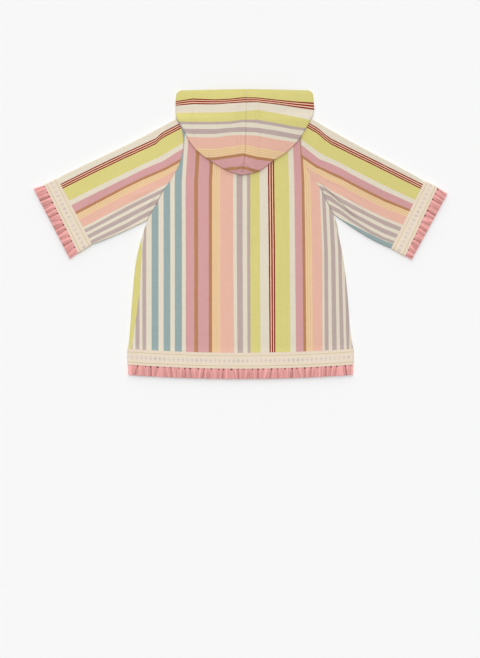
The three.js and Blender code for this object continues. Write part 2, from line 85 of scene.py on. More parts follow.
# Side edges of the body from hem to shoulder: row, then X of the left and the right edge
BODY_EDGES = np.array([
    (-236.5, -224.6, 225), (-183, -220.3, 218.5), (-127, -216.2, 214.5), (-55, -209, 206.5),
    (0, -196, 196), (28, -186, 191), (60, -168, 175), (91, -152, 160), (118, -134, 141),
    (147, -120, 126), (178, -113.5, 120), (205, -116, 123), (233, -128, 137),
])

# Cuff lines of each sleeve, from the top fold to the underarm fold
CUFFS = {
    "left": np.array([(-366.6, 113, -296.4, -20.6), (-392.5, 100, -323.8, -38), (-414, 92, -341, -49)]),
    "right": np.array([(368.5, 107.5, 300.6, -28.6), (394.6, 95.5, 328.8, -44), (414, 82, 342, -50.5)]),
}
# How far its underarm fold and its top fold sag
SLEEVE_BOW = {"left": (2, 5), "right": (5, 4)}
# Sleeve sections: place along it, floor, top and how far its folds are drawn in
SLEEVE_FORM = np.array([
    (0, 0, 4.6, 0), (0.12, 0, 4.9, 0), (0.28, 0, 5.1, 0), (0.78, 0, 5.1, 0), (0.94, 0, 5.2, 0),
    (1, 1.5, 5.3, 1.5), (2, 1.5, 5.3, 1.5), (3, 0, 4.9, 0),
])

# Hood sections from the mouth to the tip: neck X, gap, bend X Y, fold X Y, seam X Y
HOOD = {
    "left": np.array([
        (6.5, 0.6, -80, 296, -118.5, 289, 12, 289.4), (-12, 0.8, -83, 293, -126.4, 284, 12, 283),
        (-30, 1, -86, 290, -129, 275, 12, 274),
        (-63, 4.5, -90, 284, -130, 254, 11.8, 257), (-84, 8.5, -106, 268, -129.8, 243, 11.5, 242),
        (-79, 0, -104, 250, -127, 231, 11.2, 228), (-66, 0, -90, 228, -117, 214, 11, 211),
        (-48, 0, -72, 210, -100, 182, 10.5, 187), (-32, 0, -50, 195, -79, 160, 9.5, 164),
        (-18, 0, -28, 185, -51, 141, 7.5, 145), (-6, 0, -10, 180, -24, 126, 5, 130),
        (5.5, 0, 4.5, 180, 2.4, 117.8, 3, 124),
    ]),
    "right": np.array([
        (7.5, 0.6, 94, 296, 136, 289, 12, 289.4), (26, 0.8, 97, 293, 143.3, 284, 12, 283),
        (44, 1, 100, 290, 145.6, 275, 12, 274),
        (77, 6.5, 104, 284, 147, 256, 11.8, 257), (98, 8.5, 120, 268, 147, 245, 11.5, 242),
        (93, 0, 118, 250, 141, 231, 11.2, 228), (80, 0, 104, 228, 131, 212, 11, 211),
        (62, 0, 86, 210, 115, 187, 10.5, 187), (46, 0, 64, 195, 92, 164, 9.5, 164),
        (32, 0, 42, 185, 63, 145, 7.5, 145), (20, 0, 24, 180, 37, 126, 5, 130),
        (6, 0, 6.5, 180, 3.6, 117.8, 3, 124),
    ]),
}
HOOD_FOLD, HOOD_PUFF, SHOULDER_DROP = 2.6, 9, 9
# Steps of a section: along its hidden run and round its fold. The length of a shown run
HIDDEN_STEPS, ROUND_STEPS, SHOWN_RUN = 26, 9, 130

# Soft creases of the upper layer: line ends, half width, height
CREASES = np.array([
    (-95, 120, -60, -60, 20, 0.9), (90, 110, 105, -90, 22, 0.9), (-150, 20, -110, -150, 22, 0.8),
    (30, -40, 10, -200, 24, 0.8), (168, 10, 150, -160, 20, 0.9), (177, 92, 245, 26, 14, 1.2),
    (-178, 96, -250, 52, 16, 0.9), (210, 128, 320, 66, 16, 0.8), (-230, 120, -320, 68, 16, 0.8),
])
# Finer creases that only the cloth has, some of them hollows
FINE_CREASES = np.array([
    (186, 96, 262, 44, 7, 0.8), (-168, 78, -214, 30, 6, 0.8),
    (-160, 96, -222, 74, 8, 0.6), (166, 112, 214, 96, 8, 0.6), (-150, 214, -168, 186, 7, 1.0),
    (152, 214, 172, 184, 7, 1.0), (-196, 10, -150, -30, 9, 0.5), (196, 0, 160, -40, 9, 0.5),
    (-70, 60, -82, -150, 10, 0.4), (60, 60, 72, -120, 12, 0.4), (130, 80, 120, -60, 9, 0.4),
    (-28, 90, -30, -90, 12, 0.35), (-130, 60, -136, -60, 9, 0.4), (-204, -90, -170, -210, 10, 0.4),
    (200, -60, 188, -200, 10, 0.4), (0, -120, 30, -214, 12, -0.4), (-110, -110, -90, -214, 12, -0.4),
])
# Folds that lean over: line ends, width of the slow rise, width of the drop on the line's right
# side, height
LEDGES = np.array([
    (168, 96, 236, 30, 16, 2.6, 2.2), (-166, 92, -182, 62, 9, 2.2, 1.0),
    (-182, 70, -190, 40, 8, 2.2, 0.9), (158, 108, 170, 92, 10, 2.2, 0.8),
])
# Creases of the hood's upper layer
HOOD_CREASES = np.array([
    (-95, 292, -93, 190, 6, 1.5), (-4, 292, -2, 150, 6, 1.8), (33, 292, 35, 150, 7, 2.2),
    (84, 292, 96, 190, 11, 1.0), (-60, 250, -50, 160, 14, -0.8), (8, 150, -14, 124, 5, 1.3),
    (8, 146, 30, 126, 5, 1.3), (14, 290, 14, 150, 7, -0.8),
])

# Stripes of the cotton: where each ends across one repeat, and its colour
RED_LINES = [
    (237.1, "brick"), (238.8, "salmon"), (242, "brick"), (243.7, "salmon"), (246.6, "brick"),
]
STRIPES = [
    (13.4, "teal"), (23.8, "cream"), (37, "teal"), (46.2, "cream"), (60, "teal"), (67.8, "cream"),
    (84.6, "rose"), (92.4, "caramel"), (113.6, "rose"), (120, "caramel"), (123.4, "butter"),
    (124.6, "straw"), (127.6, "butter"), (128.8, "straw"), (131.8, "butter"), (133, "straw"),
    (136.2, "butter"), (164.2, "peach"), (170.8, "cream"), (181.8, "mauve"), (190.4, "cream"),
    (196.6, "mauve"), (216.2, "lime"), (234.2, "cream"), *RED_LINES, (276.6, "lime"),
    (287.6, "cream"), (302.8, "rose"), (308.2, "caramel"), (311.4, "butter"), (312.6, "straw"),
    (316.2, "butter"), (317.4, "straw"), (320.8, "butter"), (340.2, "peach"), (344.6, "cream"),
    (352, "mauve"), (358.8, "cream"), (367.4, "mauve"), (373.8, "cream"), (382.2, "mauve"),
    (394, "cream"),
]
REPEAT = 394
COLOURS = {
    "teal": (150, 170, 170), "cream": (230, 220, 200), "rose": (215, 160, 160),
    "caramel": (185, 130, 90), "butter": (240, 205, 155), "straw": (225, 185, 150),
    "peach": (235, 185, 165), "mauve": (190, 170, 165), "lime": (220, 210, 130),
    "brick": (136, 16, 2), "salmon": (255, 212, 176), "tape": (238, 222, 203),
    "tape line": (210, 192, 132), "motif": (190, 180, 174), "thread": (226, 208, 176),
    # The dark frill colour is painted shade for the frills' tucks and valleys.
    "frill": (254, 183, 178), "frill painted shade": (106, 44, 44),
}

# How the stripes lie on each piece, read off the photo to the half millimetre. Each line is a
# place along the piece and then where these marks of the repeat are seen across it.
BODY_MARKS = (
    -60, 0, 60, 120, 164.2, 196.6, 234.2, 246.6, 302.8, 340.2, 373.8, 382.2, 387, 382.2, 373.8,
)
BODY_STRIPES = [
    (-217, -233, -178, -117.5, -57, -13, 20, 58, 69.5, 126, 164, 199, 207, 209.5, 212, 218),
    (-31, -233, -178, -117.5, -57, -14.5, 19.5, 56.5, 69, 124, 163.5, 195.5, 202, 204.5, 208, 216),
    (105, -233, -178, -118, -57, -15, 19.5, 55, 67.5, 122.5, 158, 188, 195, 197.5, 200, 208),
    (150, -233, -178, -115, -55, -14, 19, 55, 67, 120.5, 152, 184, 190, 193, 196, 204),
]
# On a sleeve the cream above the red lines and the lines themselves are equally wide all along,
# so its lines give only where the red lines start, for the marks 221, 234.2 and 246.6.
TOP_CREAM, RED_WIDTH = 17, 11.5
SLEEVE_MARKS = {
    "left": (221, 234.2, 246.6, 287.6, 308.2, 340.2, 344.6, 382.2, 394, 407.4),
    "right": (
        221, 234.2, 246.6, 287.6, 308.2, 340.2, 344.6, 352, 358.8, 367.4, 373.8, 382.2, 394, 407.4,
    ),
}
SLEEVE_STRIPES = {
    "left": [
        (-349, 107, 54, 30, -2, -8, -48, -52, -66),
        (-291, 136, 83, 60.5, 27.5, 21, -15.5, -17, -31),
        (-231, 164.5, 112.5, 92.5, 59, 54, 12, 5.5, -9),
        (-197, 180, 129.5, 109, 76, 71, 31, 20, 6),
        (-169, 193, 142, 121, 90.5, 84.5, 46, 32, 18),
        (-161, 201, 144.5, 124.5, 95, 88.5, 51, 37, 23),
        (-151, 207.5, 150, 128.5, 100, 94, 57, 43, 29),
        (-127, 220, 165, 141.5, 115, 109, 71, 57, 43),
    ],
    "right": [
        (141, 221.5, 164.5, 141, 112, 107, 100, 93, 85, 79, 71, 59, 45),
        (151, 216, 156.5, 134, 106, 100, 93, 86.5, 78, 72, 64, 52, 38),
        (159, 210, 150.5, 131, 102, 97, 88, 81, 73, 66, 58, 46, 32),
        (169, 201, 147, 126, 96.5, 93.5, 87, 81.5, 72.5, 63.5, 55, 43, 31),
        (180, 193, 142.5, 120.5, 89, 86, 80.5, 77, 67, 60, 51.5, 45, 32),
        (200, 183, 133.5, 111.5, 79, 73.5, 65, 60, 54.5, 49.5, 40.5, 32, 18),
        (224, 171, 120, 98.5, 66, 60.5, 51, 45, 37, 31, 24, 19.5, 7.5),
        (260, 153.5, 101.5, 80, 47.5, 41, 33.5, 25, 16.5, 9, 2, 1.5, -9),
        (289, 139, 87, 66, 34, 28, 18.5, 11, 1.5, -6, -12, -11.5, -22),
        (345, 111, 62, 43.5, 11.5, 5, -3, -11, -18.5, -26, -32.5, -34, -48),
    ],
}
HOOD_MARKS = (246.6, 234.2, 216.2, 196.6, 190.4, 181.8, 170.8, 164.2, 136.2, 120, 92.4, 84.6)
HOOD_STRIPES = [
    (-117, 269, 259, 243.5, 226, 221, 212, 203, 197, 173, 154, 131, 125),
    (-95, 272.5, 261, 244, 225.5, 220.5, 211, 201.5, 195, 172.5, 154, 130.5, 124.5),
    (-51, 270.5, 260.5, 244, 225.5, 220.5, 211, 201.5, 194, 171.5, 154.5, 129, 123),
    (-21, 272, 263, 245, 226.5, 221, 213.5, 205, 198.5, 175.5, 159, 135, 128.5),
    (5, 275, 264.5, 246.5, 230, 225, 215, 205.5, 199, 180, 163, 137, 131.5),
    (33, 274.5, 265, 249.5, 230, 223, 213.5, 204.5, 198, 174.5, 156, 130, 122.5),
    (69, 270.5, 261, 243.5, 224, 217, 208.5, 198.5, 191, 168, 151, 127, 121),
    (109, 266.5, 255, 236, 216, 210, 200.5, 191.5, 184.5, 161.5, 147, 121, 115),
    (133, 265, 251.5, 230.5, 212.5, 207, 197, 188, 181.5, 158, 144.5, 117, 111),
]



# Curves and small sums

def mix(a, b, f):
    """a at 0 and b at 1, straight between."""
    return a + (b - a) * f


def ease(x, low, high):
    """0 below low, 1 above high, and 3t^2 - 2t^3 between."""
    t = np.clip((x - low) / (high - low), 0, 1)
    return t * t * (3 - 2 * t)


def through(places, values, at):
    """A smooth line through points: a cubic in each span, its slope at a point the slope
    between the point's two neighbours."""
    places, values = np.asarray(places, float), np.asarray(values, float)
    last = len(places) - 1
    before = np.maximum(np.arange(last + 1) - 1, 0)
    after = np.minimum(np.arange(last + 1) + 1, last)
    gap = places[after] - places[before]
    slopes = (values[after] - values[before]) / (gap if values.ndim == 1 else gap[:, None, None])
    at = np.clip(at, places[0], places[-1])
    i = np.clip(np.searchsorted(places, at) - 1, 0, last - 1)
    step = places[i + 1] - places[i]
    f = (at - places[i]) / step
    if values.ndim > 1:
        step, f = step[:, None, None], f[:, None, None]
    bend = slopes[i] * step * f * (1 - f) ** 2 - slopes[i + 1] * step * f * f * (1 - f)
    return mix(values[i], values[i + 1], f * f * (3 - 2 * f)) + bend


def packed(first, last, count, tight=0.6):
    """Places from first to last that crowd towards both ends: half a cosine mixed with an even
    spacing."""
    even = np.linspace(0, 1, count)
    return mix(first, last, mix(even, (1 - np.cos(np.pi * even)) / 2, tight))


def ridges(table, x, y):
    """Sum of soft ridges: each is highest along its line, falls smoothly over its half width
    and fades at both ends."""
    rise = np.zeros(np.broadcast(x, y).shape)
    for x0, y0, x1, y1, half, height in table:
        dx, dy = x1 - x0, y1 - y0
        long = np.hypot(dx, dy)
        along = ((x - x0) * dx + (y - y0) * dy) / long**2
        off = np.abs((x - x0) * dy - (y - y0) * dx) / long
        falloff = ease(along, -0.1, 0.25) * (1 - ease(along, 0.75, 1.1))
        rise += height * falloff * (1 - ease(off, 0, half))
    return rise


def ledges(table, x, y):
    """Sum of leaning folds: each rises slowly towards its line and drops sharply beyond it,
    and fades at both ends."""
    rise = np.zeros(np.broadcast(x, y).shape)
    for x0, y0, x1, y1, slow, sharp, height in table:
        dx, dy = x1 - x0, y1 - y0
        long = np.hypot(dx, dy)
        along = ((x - x0) * dx + (y - y0) * dy) / long**2
        off = ((y - y0) * dx - (x - x0) * dy) / long
        falloff = ease(along, -0.1, 0.2) * (1 - ease(along, 0.7, 1.1))
        rise += height * falloff * np.where(off > 0, 1 - ease(off, 0, slow), 1 - ease(-off, 0, sharp))
    return rise


def seen(points):
    """X and Y at which the camera sees points against the floor: each moves out from the
    camera's axis as its height takes it nearer to the camera."""
    nearer = EYE[2] / (EYE[2] - points[..., 2])
    return [EYE[k] + (points[..., k] - EYE[k]) * nearer for k in (0, 1)]


def stripe_place(marks, stations, along, across):
    """Place in the stripe repeat. The spots of the marks run straight from each station to the
    next, and the repeat runs evenly from each spot to the next. Beyond the ends both go on at
    the same rate."""
    table = np.array(stations, float)
    places, spots = table[:, 0], table[:, 1:]
    way = np.sign(spots[0, -1] - spots[0, 0])
    i = np.clip(np.searchsorted(places, along) - 1, 0, len(places) - 2)
    f = (along - places[i]) / (places[i + 1] - places[i])
    steps = np.diff(marks)
    place = float(marks[0])
    for k, step in enumerate(steps):
        low, high = [mix(spots[i, n], spots[i + 1, n], f) for n in (k, k + 1)]
        share = way * (across - low) / np.maximum(way * (high - low), 0.2)
        least = -np.inf if k == 0 else 0
        most = np.inf if k == len(steps) - 1 else 1
        place = place + step * np.clip(share, least, most)
    return place



# Body

def side_x(side, row):
    """X of the body's side edge: a smooth line through the table of edges."""
    return through(BODY_EDGES[:, 0], BODY_EDGES[:, 1 if side == "left" else 2], row)


def neck_edge(x, middle, power):
    """Y of the neck edge: a power curve from the middle out to the neck's side, and a straight
    shoulder slope beyond it."""
    q = np.abs(x - NECK_MIDDLE) / NECK_HALF
    curve = mix(middle, NECK_SIDE, np.minimum(q, 1) ** power)
    return np.where(q > 1, NECK_SIDE - SHOULDER_SLOPE * (q - 1) * NECK_HALF, curve)


def back_neck(x):
    """Neck edge of the back."""
    return neck_edge(x, NECK_BACK, 2)


def front_neck(x):
    """Neck edge of the fronts."""
    return neck_edge(x, NECK_FRONT, 2.2)


def row_y(x, row, edge):
    """Y of a row: it bends with the neck edge near the top and with the hem curve near the hem,
    both fading with the square of the distance."""
    near = np.clip(1 - (TOP_ROW - row) / NECK_REACH, 0, 1)
    low = np.clip(1 - (row - HEM_ROW) / HEM_REACH, 0, 1)
    return row + (edge(x) - TOP_ROW) * near**2 + HEM_CURVE * (x / HALF_HEM) ** 2 * low**2


def frill_out(row):
    """0 at the tape's edge and 1 at the frill's free edge."""
    return np.clip((HEM_BOTTOM - row) / (HEM_BOTTOM - HEM_END), 0, 1)


def body_floor(row):
    """Underside of the fronts: on the floor, and lifted by the tape under the hem."""
    lift = 1 - ease(row, HEM_ROW, HEM_ROW + HEM_RISE)
    return mix(TAPE_RISE * lift, 0, frill_out(row))


def edge_top(row):
    """Top of the body at its sides."""
    lift = 1 - ease(row, HEM_ROW, HEM_ROW + HEM_RISE)
    return mix(mix(EDGE_TOP, HEM_TOP, lift), FRILL_BASE, frill_out(row))


def back_top(x, y, row, fine=True):
    """Top of the back: the side height, a gentle rise in the middle, the creases, and a slight
    drop at the shoulder."""
    inwards = np.minimum(x - side_x("left", row), side_x("right", row) - x)
    above = ease(row, HEM_ROW, HEM_ROW + 45)
    rise = (MIDDLE_RISE + ridges(CREASES, x, y)) * ease(inwards, 8, 60)
    if fine:
        rise = rise + (ridges(FINE_CREASES, x, y) + ripple(x, y)) * ease(inwards, 2, 14)
    return edge_top(row) + rise * above - SHOULDER_PINCH * ease(row, TOP_ROW - 7, TOP_ROW)


def ripple(x, y):
    """Faint uneven lie of the cloth: three long slow waves that cross."""
    return (
        0.16 * np.sin(x / 23 + 0.7 * np.sin(y / 61))
        + 0.12 * np.sin(y / 31 + x / 57)
        + 0.08 * np.sin(x / 11 - y / 90)
    )


def turned(side, row):
    """How far round its fold the front's side edge has turned, in radians."""
    return np.pi * np.clip((UNDERARM[side] - row) / FOLD_TURN, 0, 1)


def turn_over(side, row):
    """Length of the front beyond its side fold."""
    return through(TURN_OVER[:, 0], TURN_OVER[:, 1 if side == "left" else 2], row)


def seam_dip(distance, depth=0.9, width=1.5):
    """How far an edge rolls down into its seam: a bell curve of the distance."""
    return depth * np.exp(-((distance / width) ** 2))


def seam_depth(side, row):
    """Share of the full dip that the body's edge has: a little along the side fold, all of it
    at the underarm, little beside the lower sleeve where the stripes meet, and on the left all
    of it again at the top."""
    share = mix(0.12, 1, ease(row, UNDERARM[side] - 14, UNDERARM[side]))
    share = share * ease(row, HEM_ROW, HEM_ROW + 10)
    low, high = CALM_SEAM[side]
    calm = ease(row, low, low + 14) * (1 - ease(row, high, high + 20))
    return share * (1 - 0.88 * calm)


def front_grid(side, rows, columns, lift=None):
    """A front, one line per row: a flat run from the centre front, an arc round the side fold,
    and the turn-over that lies on top. Returns the points and the length run so far."""
    sign = SIGN[side]
    row = np.asarray(rows, float)[:, None]
    floor, angle, over = body_floor(row), turned(side, row), turn_over(side, row)
    radius = (edge_top(row) - floor) / 2
    slack = 2 * (1 - angle / np.pi)
    middle = sign * NECK_MIDDLE * np.clip((row + 240) / 470, 0, 1) + SEAM / 2
    reach = radius * np.sin(np.minimum(angle, np.pi / 2)) + slack
    centre = sign * side_x(side, row) - reach - over * np.maximum(np.cos(angle), 0)
    f = np.asarray(columns, float)[None]
    run = mix(middle, centre, f)
    near_neck = ease(np.abs(sign * run - NECK_MIDDLE), 70, NECK_HALF)
    run_z = floor + SHOULDER_PINCH * ease(row, TOP_ROW - 7, TOP_ROW) * near_neck
    if lift is not None:
        run_z = run_z + lift(row, f, centre - middle, sign * run)
    k = np.arange(1, FOLD_STEPS + 1)[None] / FOLD_STEPS
    fold = centre + radius * np.sin(angle * k) + slack * k
    fold_z = floor + radius * (1 - np.cos(angle * k))
    length = over * np.arange(1, OVER_STEPS + 1)[None] / OVER_STEPS
    last = fold[:, -1:] + length * np.cos(angle)
    rolled = 0.12 * seam_dip(over - length) * ease(-row, -20, 0)
    last_z = fold_z[:, -1:] + length * np.sin(angle) - rolled
    across = np.concatenate([run, fold, last], 1)
    z = np.concatenate([run_z, fold_z, last_z], 1)
    x = sign * across
    points = np.stack([x, row_y(x, row + 0 * x, front_neck), z], -1)
    steps = np.hypot(np.diff(across, axis=1), np.diff(z, axis=1))
    length = np.concatenate([0 * row, np.cumsum(steps, 1)], 1)
    return points, length


def back_grid(rows, columns, lift=None, fine=True):
    """The back, one line per row, between its seams with the fronts and sleeves."""
    row = np.asarray(rows, float)[:, None]
    radius = (edge_top(row) - body_floor(row)) / 2

    def seam_in(side):
        folded = ease(UNDERARM[side] - row, 0, FOLD_TURN)
        return folded * (radius + turn_over(side, row) + SIDE_GAP)

    left, right = side_x("left", row) + seam_in("left"), side_x("right", row) - seam_in("right")
    f = np.asarray(columns, float)[None]
    x = mix(left, right, f)
    row = row + 0 * x
    y = row_y(x, row, back_neck)
    z = back_top(x, y, row, fine)
    dips = [seam_dip(x - left), seam_dip(right - x)]
    z = z - (dips[0] * seam_depth("left", row) + dips[1] * seam_depth("right", row))
    if lift is not None:
        z = z + lift(row, f, right - left, x)
    return np.stack([x, y, z], -1)


# Making a mesh

def grid_normals(grid, closed):
    """Unit normals of a grid of points: each is the sum of its quads' normals, and a quad's is
    the cross product of its diagonals."""
    following = np.roll(grid, -1, 0) if closed else grid[1:]
    lines = grid if closed else grid[:-1]
    face = np.cross(following[:, 1:] - lines[:, :-1], lines[:, 1:] - following[:, :-1])
    out = np.zeros_like(grid)
    n = len(grid)
    here = np.arange(len(lines))
    for line in (here, (here + 1) % n):
        np.add.at(out, (line[:, None], np.arange(face.shape[1])[None]), face)
        np.add.at(out, (line[:, None], np.arange(1, face.shape[1] + 1)[None]), face)
    return out / np.maximum(np.linalg.norm(out, axis=-1, keepdims=True), 1e-9)


def shell(name, grid, inner, outer, facing, closed=False, uv=None, marks=None):
    """One closed wall over a grid of points in millimetres: two skins along the normals at the
    two offsets, joined by strips at the rims. uv is a pair for each point, in metres."""
    n, m = grid.shape[:2]
    out = grid_normals(grid, closed) * facing
    points = np.concatenate([(grid + out * outer).reshape(-1, 3), (grid + out * inner).reshape(-1, 3)])
    points[:, 2] = np.maximum(points[:, 2], 0)
    lines = np.arange(n if closed else n - 1)
    i, j = [a.ravel() for a in np.meshgrid(lines, np.arange(m - 1), indexing="ij")]
    k = (i + 1) % n

    def at(line, place, side):
        return side * n * m + line * m + place

    quads = [
        np.stack([at(i, j, 0), at(k, j, 0), at(k, j + 1, 0), at(i, j + 1, 0)], 1),
        np.stack([at(i, j, 1), at(i, j + 1, 1), at(k, j + 1, 1), at(k, j, 1)], 1),
    ]
    here, there, rim = lines, (lines + 1) % n, m - 1
    quads += [
        np.stack([at(here, 0, 1), at(there, 0, 1), at(there, 0, 0), at(here, 0, 0)], 1),
        np.stack([at(here, rim, 0), at(there, rim, 0), at(there, rim, 1), at(here, rim, 1)], 1),
    ]
    if not closed:
        j, end = np.arange(m - 1), n - 1
        quads += [
            np.stack([at(0, j, 0), at(0, j + 1, 0), at(0, j + 1, 1), at(0, j, 1)], 1),
            np.stack([at(end, j, 1), at(end, j + 1, 1), at(end, j + 1, 0), at(end, j, 0)], 1),
        ]
    faces = np.concatenate(quads)
    if facing < 0:
        faces = faces[:, ::-1]
    return mesh_piece(name, points * MM, faces, uv, marks)


def mesh_piece(name, points, faces, uv=None, marks=None):
    """A smooth mesh object of quads, with a UV map and named values for each point."""
    mesh = bpy.data.meshes.new(name)
    mesh.vertices.add(len(points))
    mesh.vertices.foreach_set("co", points.astype(np.float32).ravel())
    mesh.loops.add(faces.size)
    mesh.loops.foreach_set("vertex_index", faces.astype(np.int32).ravel())
    mesh.polygons.add(len(faces))
    mesh.polygons.foreach_set("loop_start", np.arange(0, faces.size, 4, dtype=np.int32))
    mesh.update(calc_edges=True)
    copies = len(points)
    if uv is not None:
        flat = np.concatenate([uv.reshape(-1, 2)] * 2)[:copies]
        layer = mesh.uv_layers.new(name="cloth")
        layer.data.foreach_set("uv", flat[faces.ravel()].astype(np.float32).ravel())
    for key, value in (marks or {}).items():
        spots = mesh.attributes.new(key, "FLOAT", "POINT")
        spots.data.foreach_set("value", np.concatenate([value.ravel()] * 2).astype(np.float32))
    mesh.validate()
    mesh.shade_smooth()
    mesh.set_sharp_from_angle(angle=np.radians(55))
    piece = bpy.data.objects.new(name, mesh)
    bpy.context.scene.collection.objects.link(piece)
    return piece


def turn(array):
    """Swaps lines and places, so that each line runs down the piece."""
    return np.swapaxes(array, 0, 1)


def face_line(points, facing, closed=False):
    """The line on a tape's outer face above the middle one of three rows, and the way out
    from it. A ring ends where it starts."""
    grid = turn(points)
    out = (grid_normals(grid, closed) * facing)[:, 1]
    line = grid[:, 1] + out * (TAPE_LIFT + TAPE)
    if closed:
        line, out = np.concatenate([line, line[:1]]), np.concatenate([out, out[:1]])
    return line, out


def stitches(name, lines):
    """Rows of thread stitches in one piece. Each stitch is a spindle of six sides along its
    line: its thickness follows a sine, and its ends dip into the tape."""
    rings = np.array([0, 0.12, 0.5, 0.88, 1])
    angle = np.arange(6) * np.pi / 3
    points = []
    for line, out in lines:
        run = np.concatenate([[0], np.cumsum(np.linalg.norm(np.diff(line, axis=0), axis=1))])
        count = int((run[-1] - 2) / STITCH_PITCH)
        number = np.arange(count)[:, None]
        place = 1 + STITCH_PITCH * (number + 0.06 * np.sin(number * 2.1)) + STITCH * rings
        spot, up, ahead = [
            np.stack([np.interp(at, run, values[:, k]) for k in range(3)], -1)
            for values, at in ((line, place), (out, place), (line, place + 0.3))
        ]
        ahead = ahead - spot
        aside = np.cross(up, ahead)
        aside /= np.linalg.norm(aside, axis=-1, keepdims=True)
        thick = THREAD / 2 * (0.4 + 0.6 * np.sin(np.pi * rings))[None, :, None]
        middle = spot + up * (0.16 * np.sin(np.pi * rings) - 0.08)[None, :, None]
        ring = aside[:, :, None] * (1.15 * np.cos(angle)[:, None] * thick[..., None])
        ring = ring + up[:, :, None] * (np.sin(angle)[:, None] * thick[..., None])
        points.append(middle[:, :, None] + ring)
    points = np.concatenate(points)
    i, j = [a.ravel() for a in np.meshgrid(np.arange(4), np.arange(6), indexing="ij")]
    k = (j + 1) % 6
    sides = np.stack([i * 6 + j, i * 6 + k, i * 6 + 6 + k, i * 6 + 6 + j], 1)
    ends = np.array([(0, 3, 2, 1), (0, 5, 4, 3), (24, 25, 26, 27), (24, 27, 28, 29)])
    one = np.concatenate([sides, ends])
    faces = (one[None] + 30 * np.arange(len(points))[:, None, None]).reshape(-1, 4)
    points = points.reshape(-1, 3)
    points[:, 2] = np.maximum(points[:, 2], 0)
    piece = mesh_piece(name, points * MM, faces, points[:, :2] * MM)
    piece.data.materials.append(FINISHES["thread"])
    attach(piece, "root")
    return piece


# Materials

def linear(name):
    """A named colour as a shader takes it: each share to the power that undoes the screen's
    curve."""
    c = np.array(COLOURS[name]) / 255
    return (*np.where(c <= 0.04045, c / 12.92, ((c + 0.055) / 1.055) ** 2.4), 1)


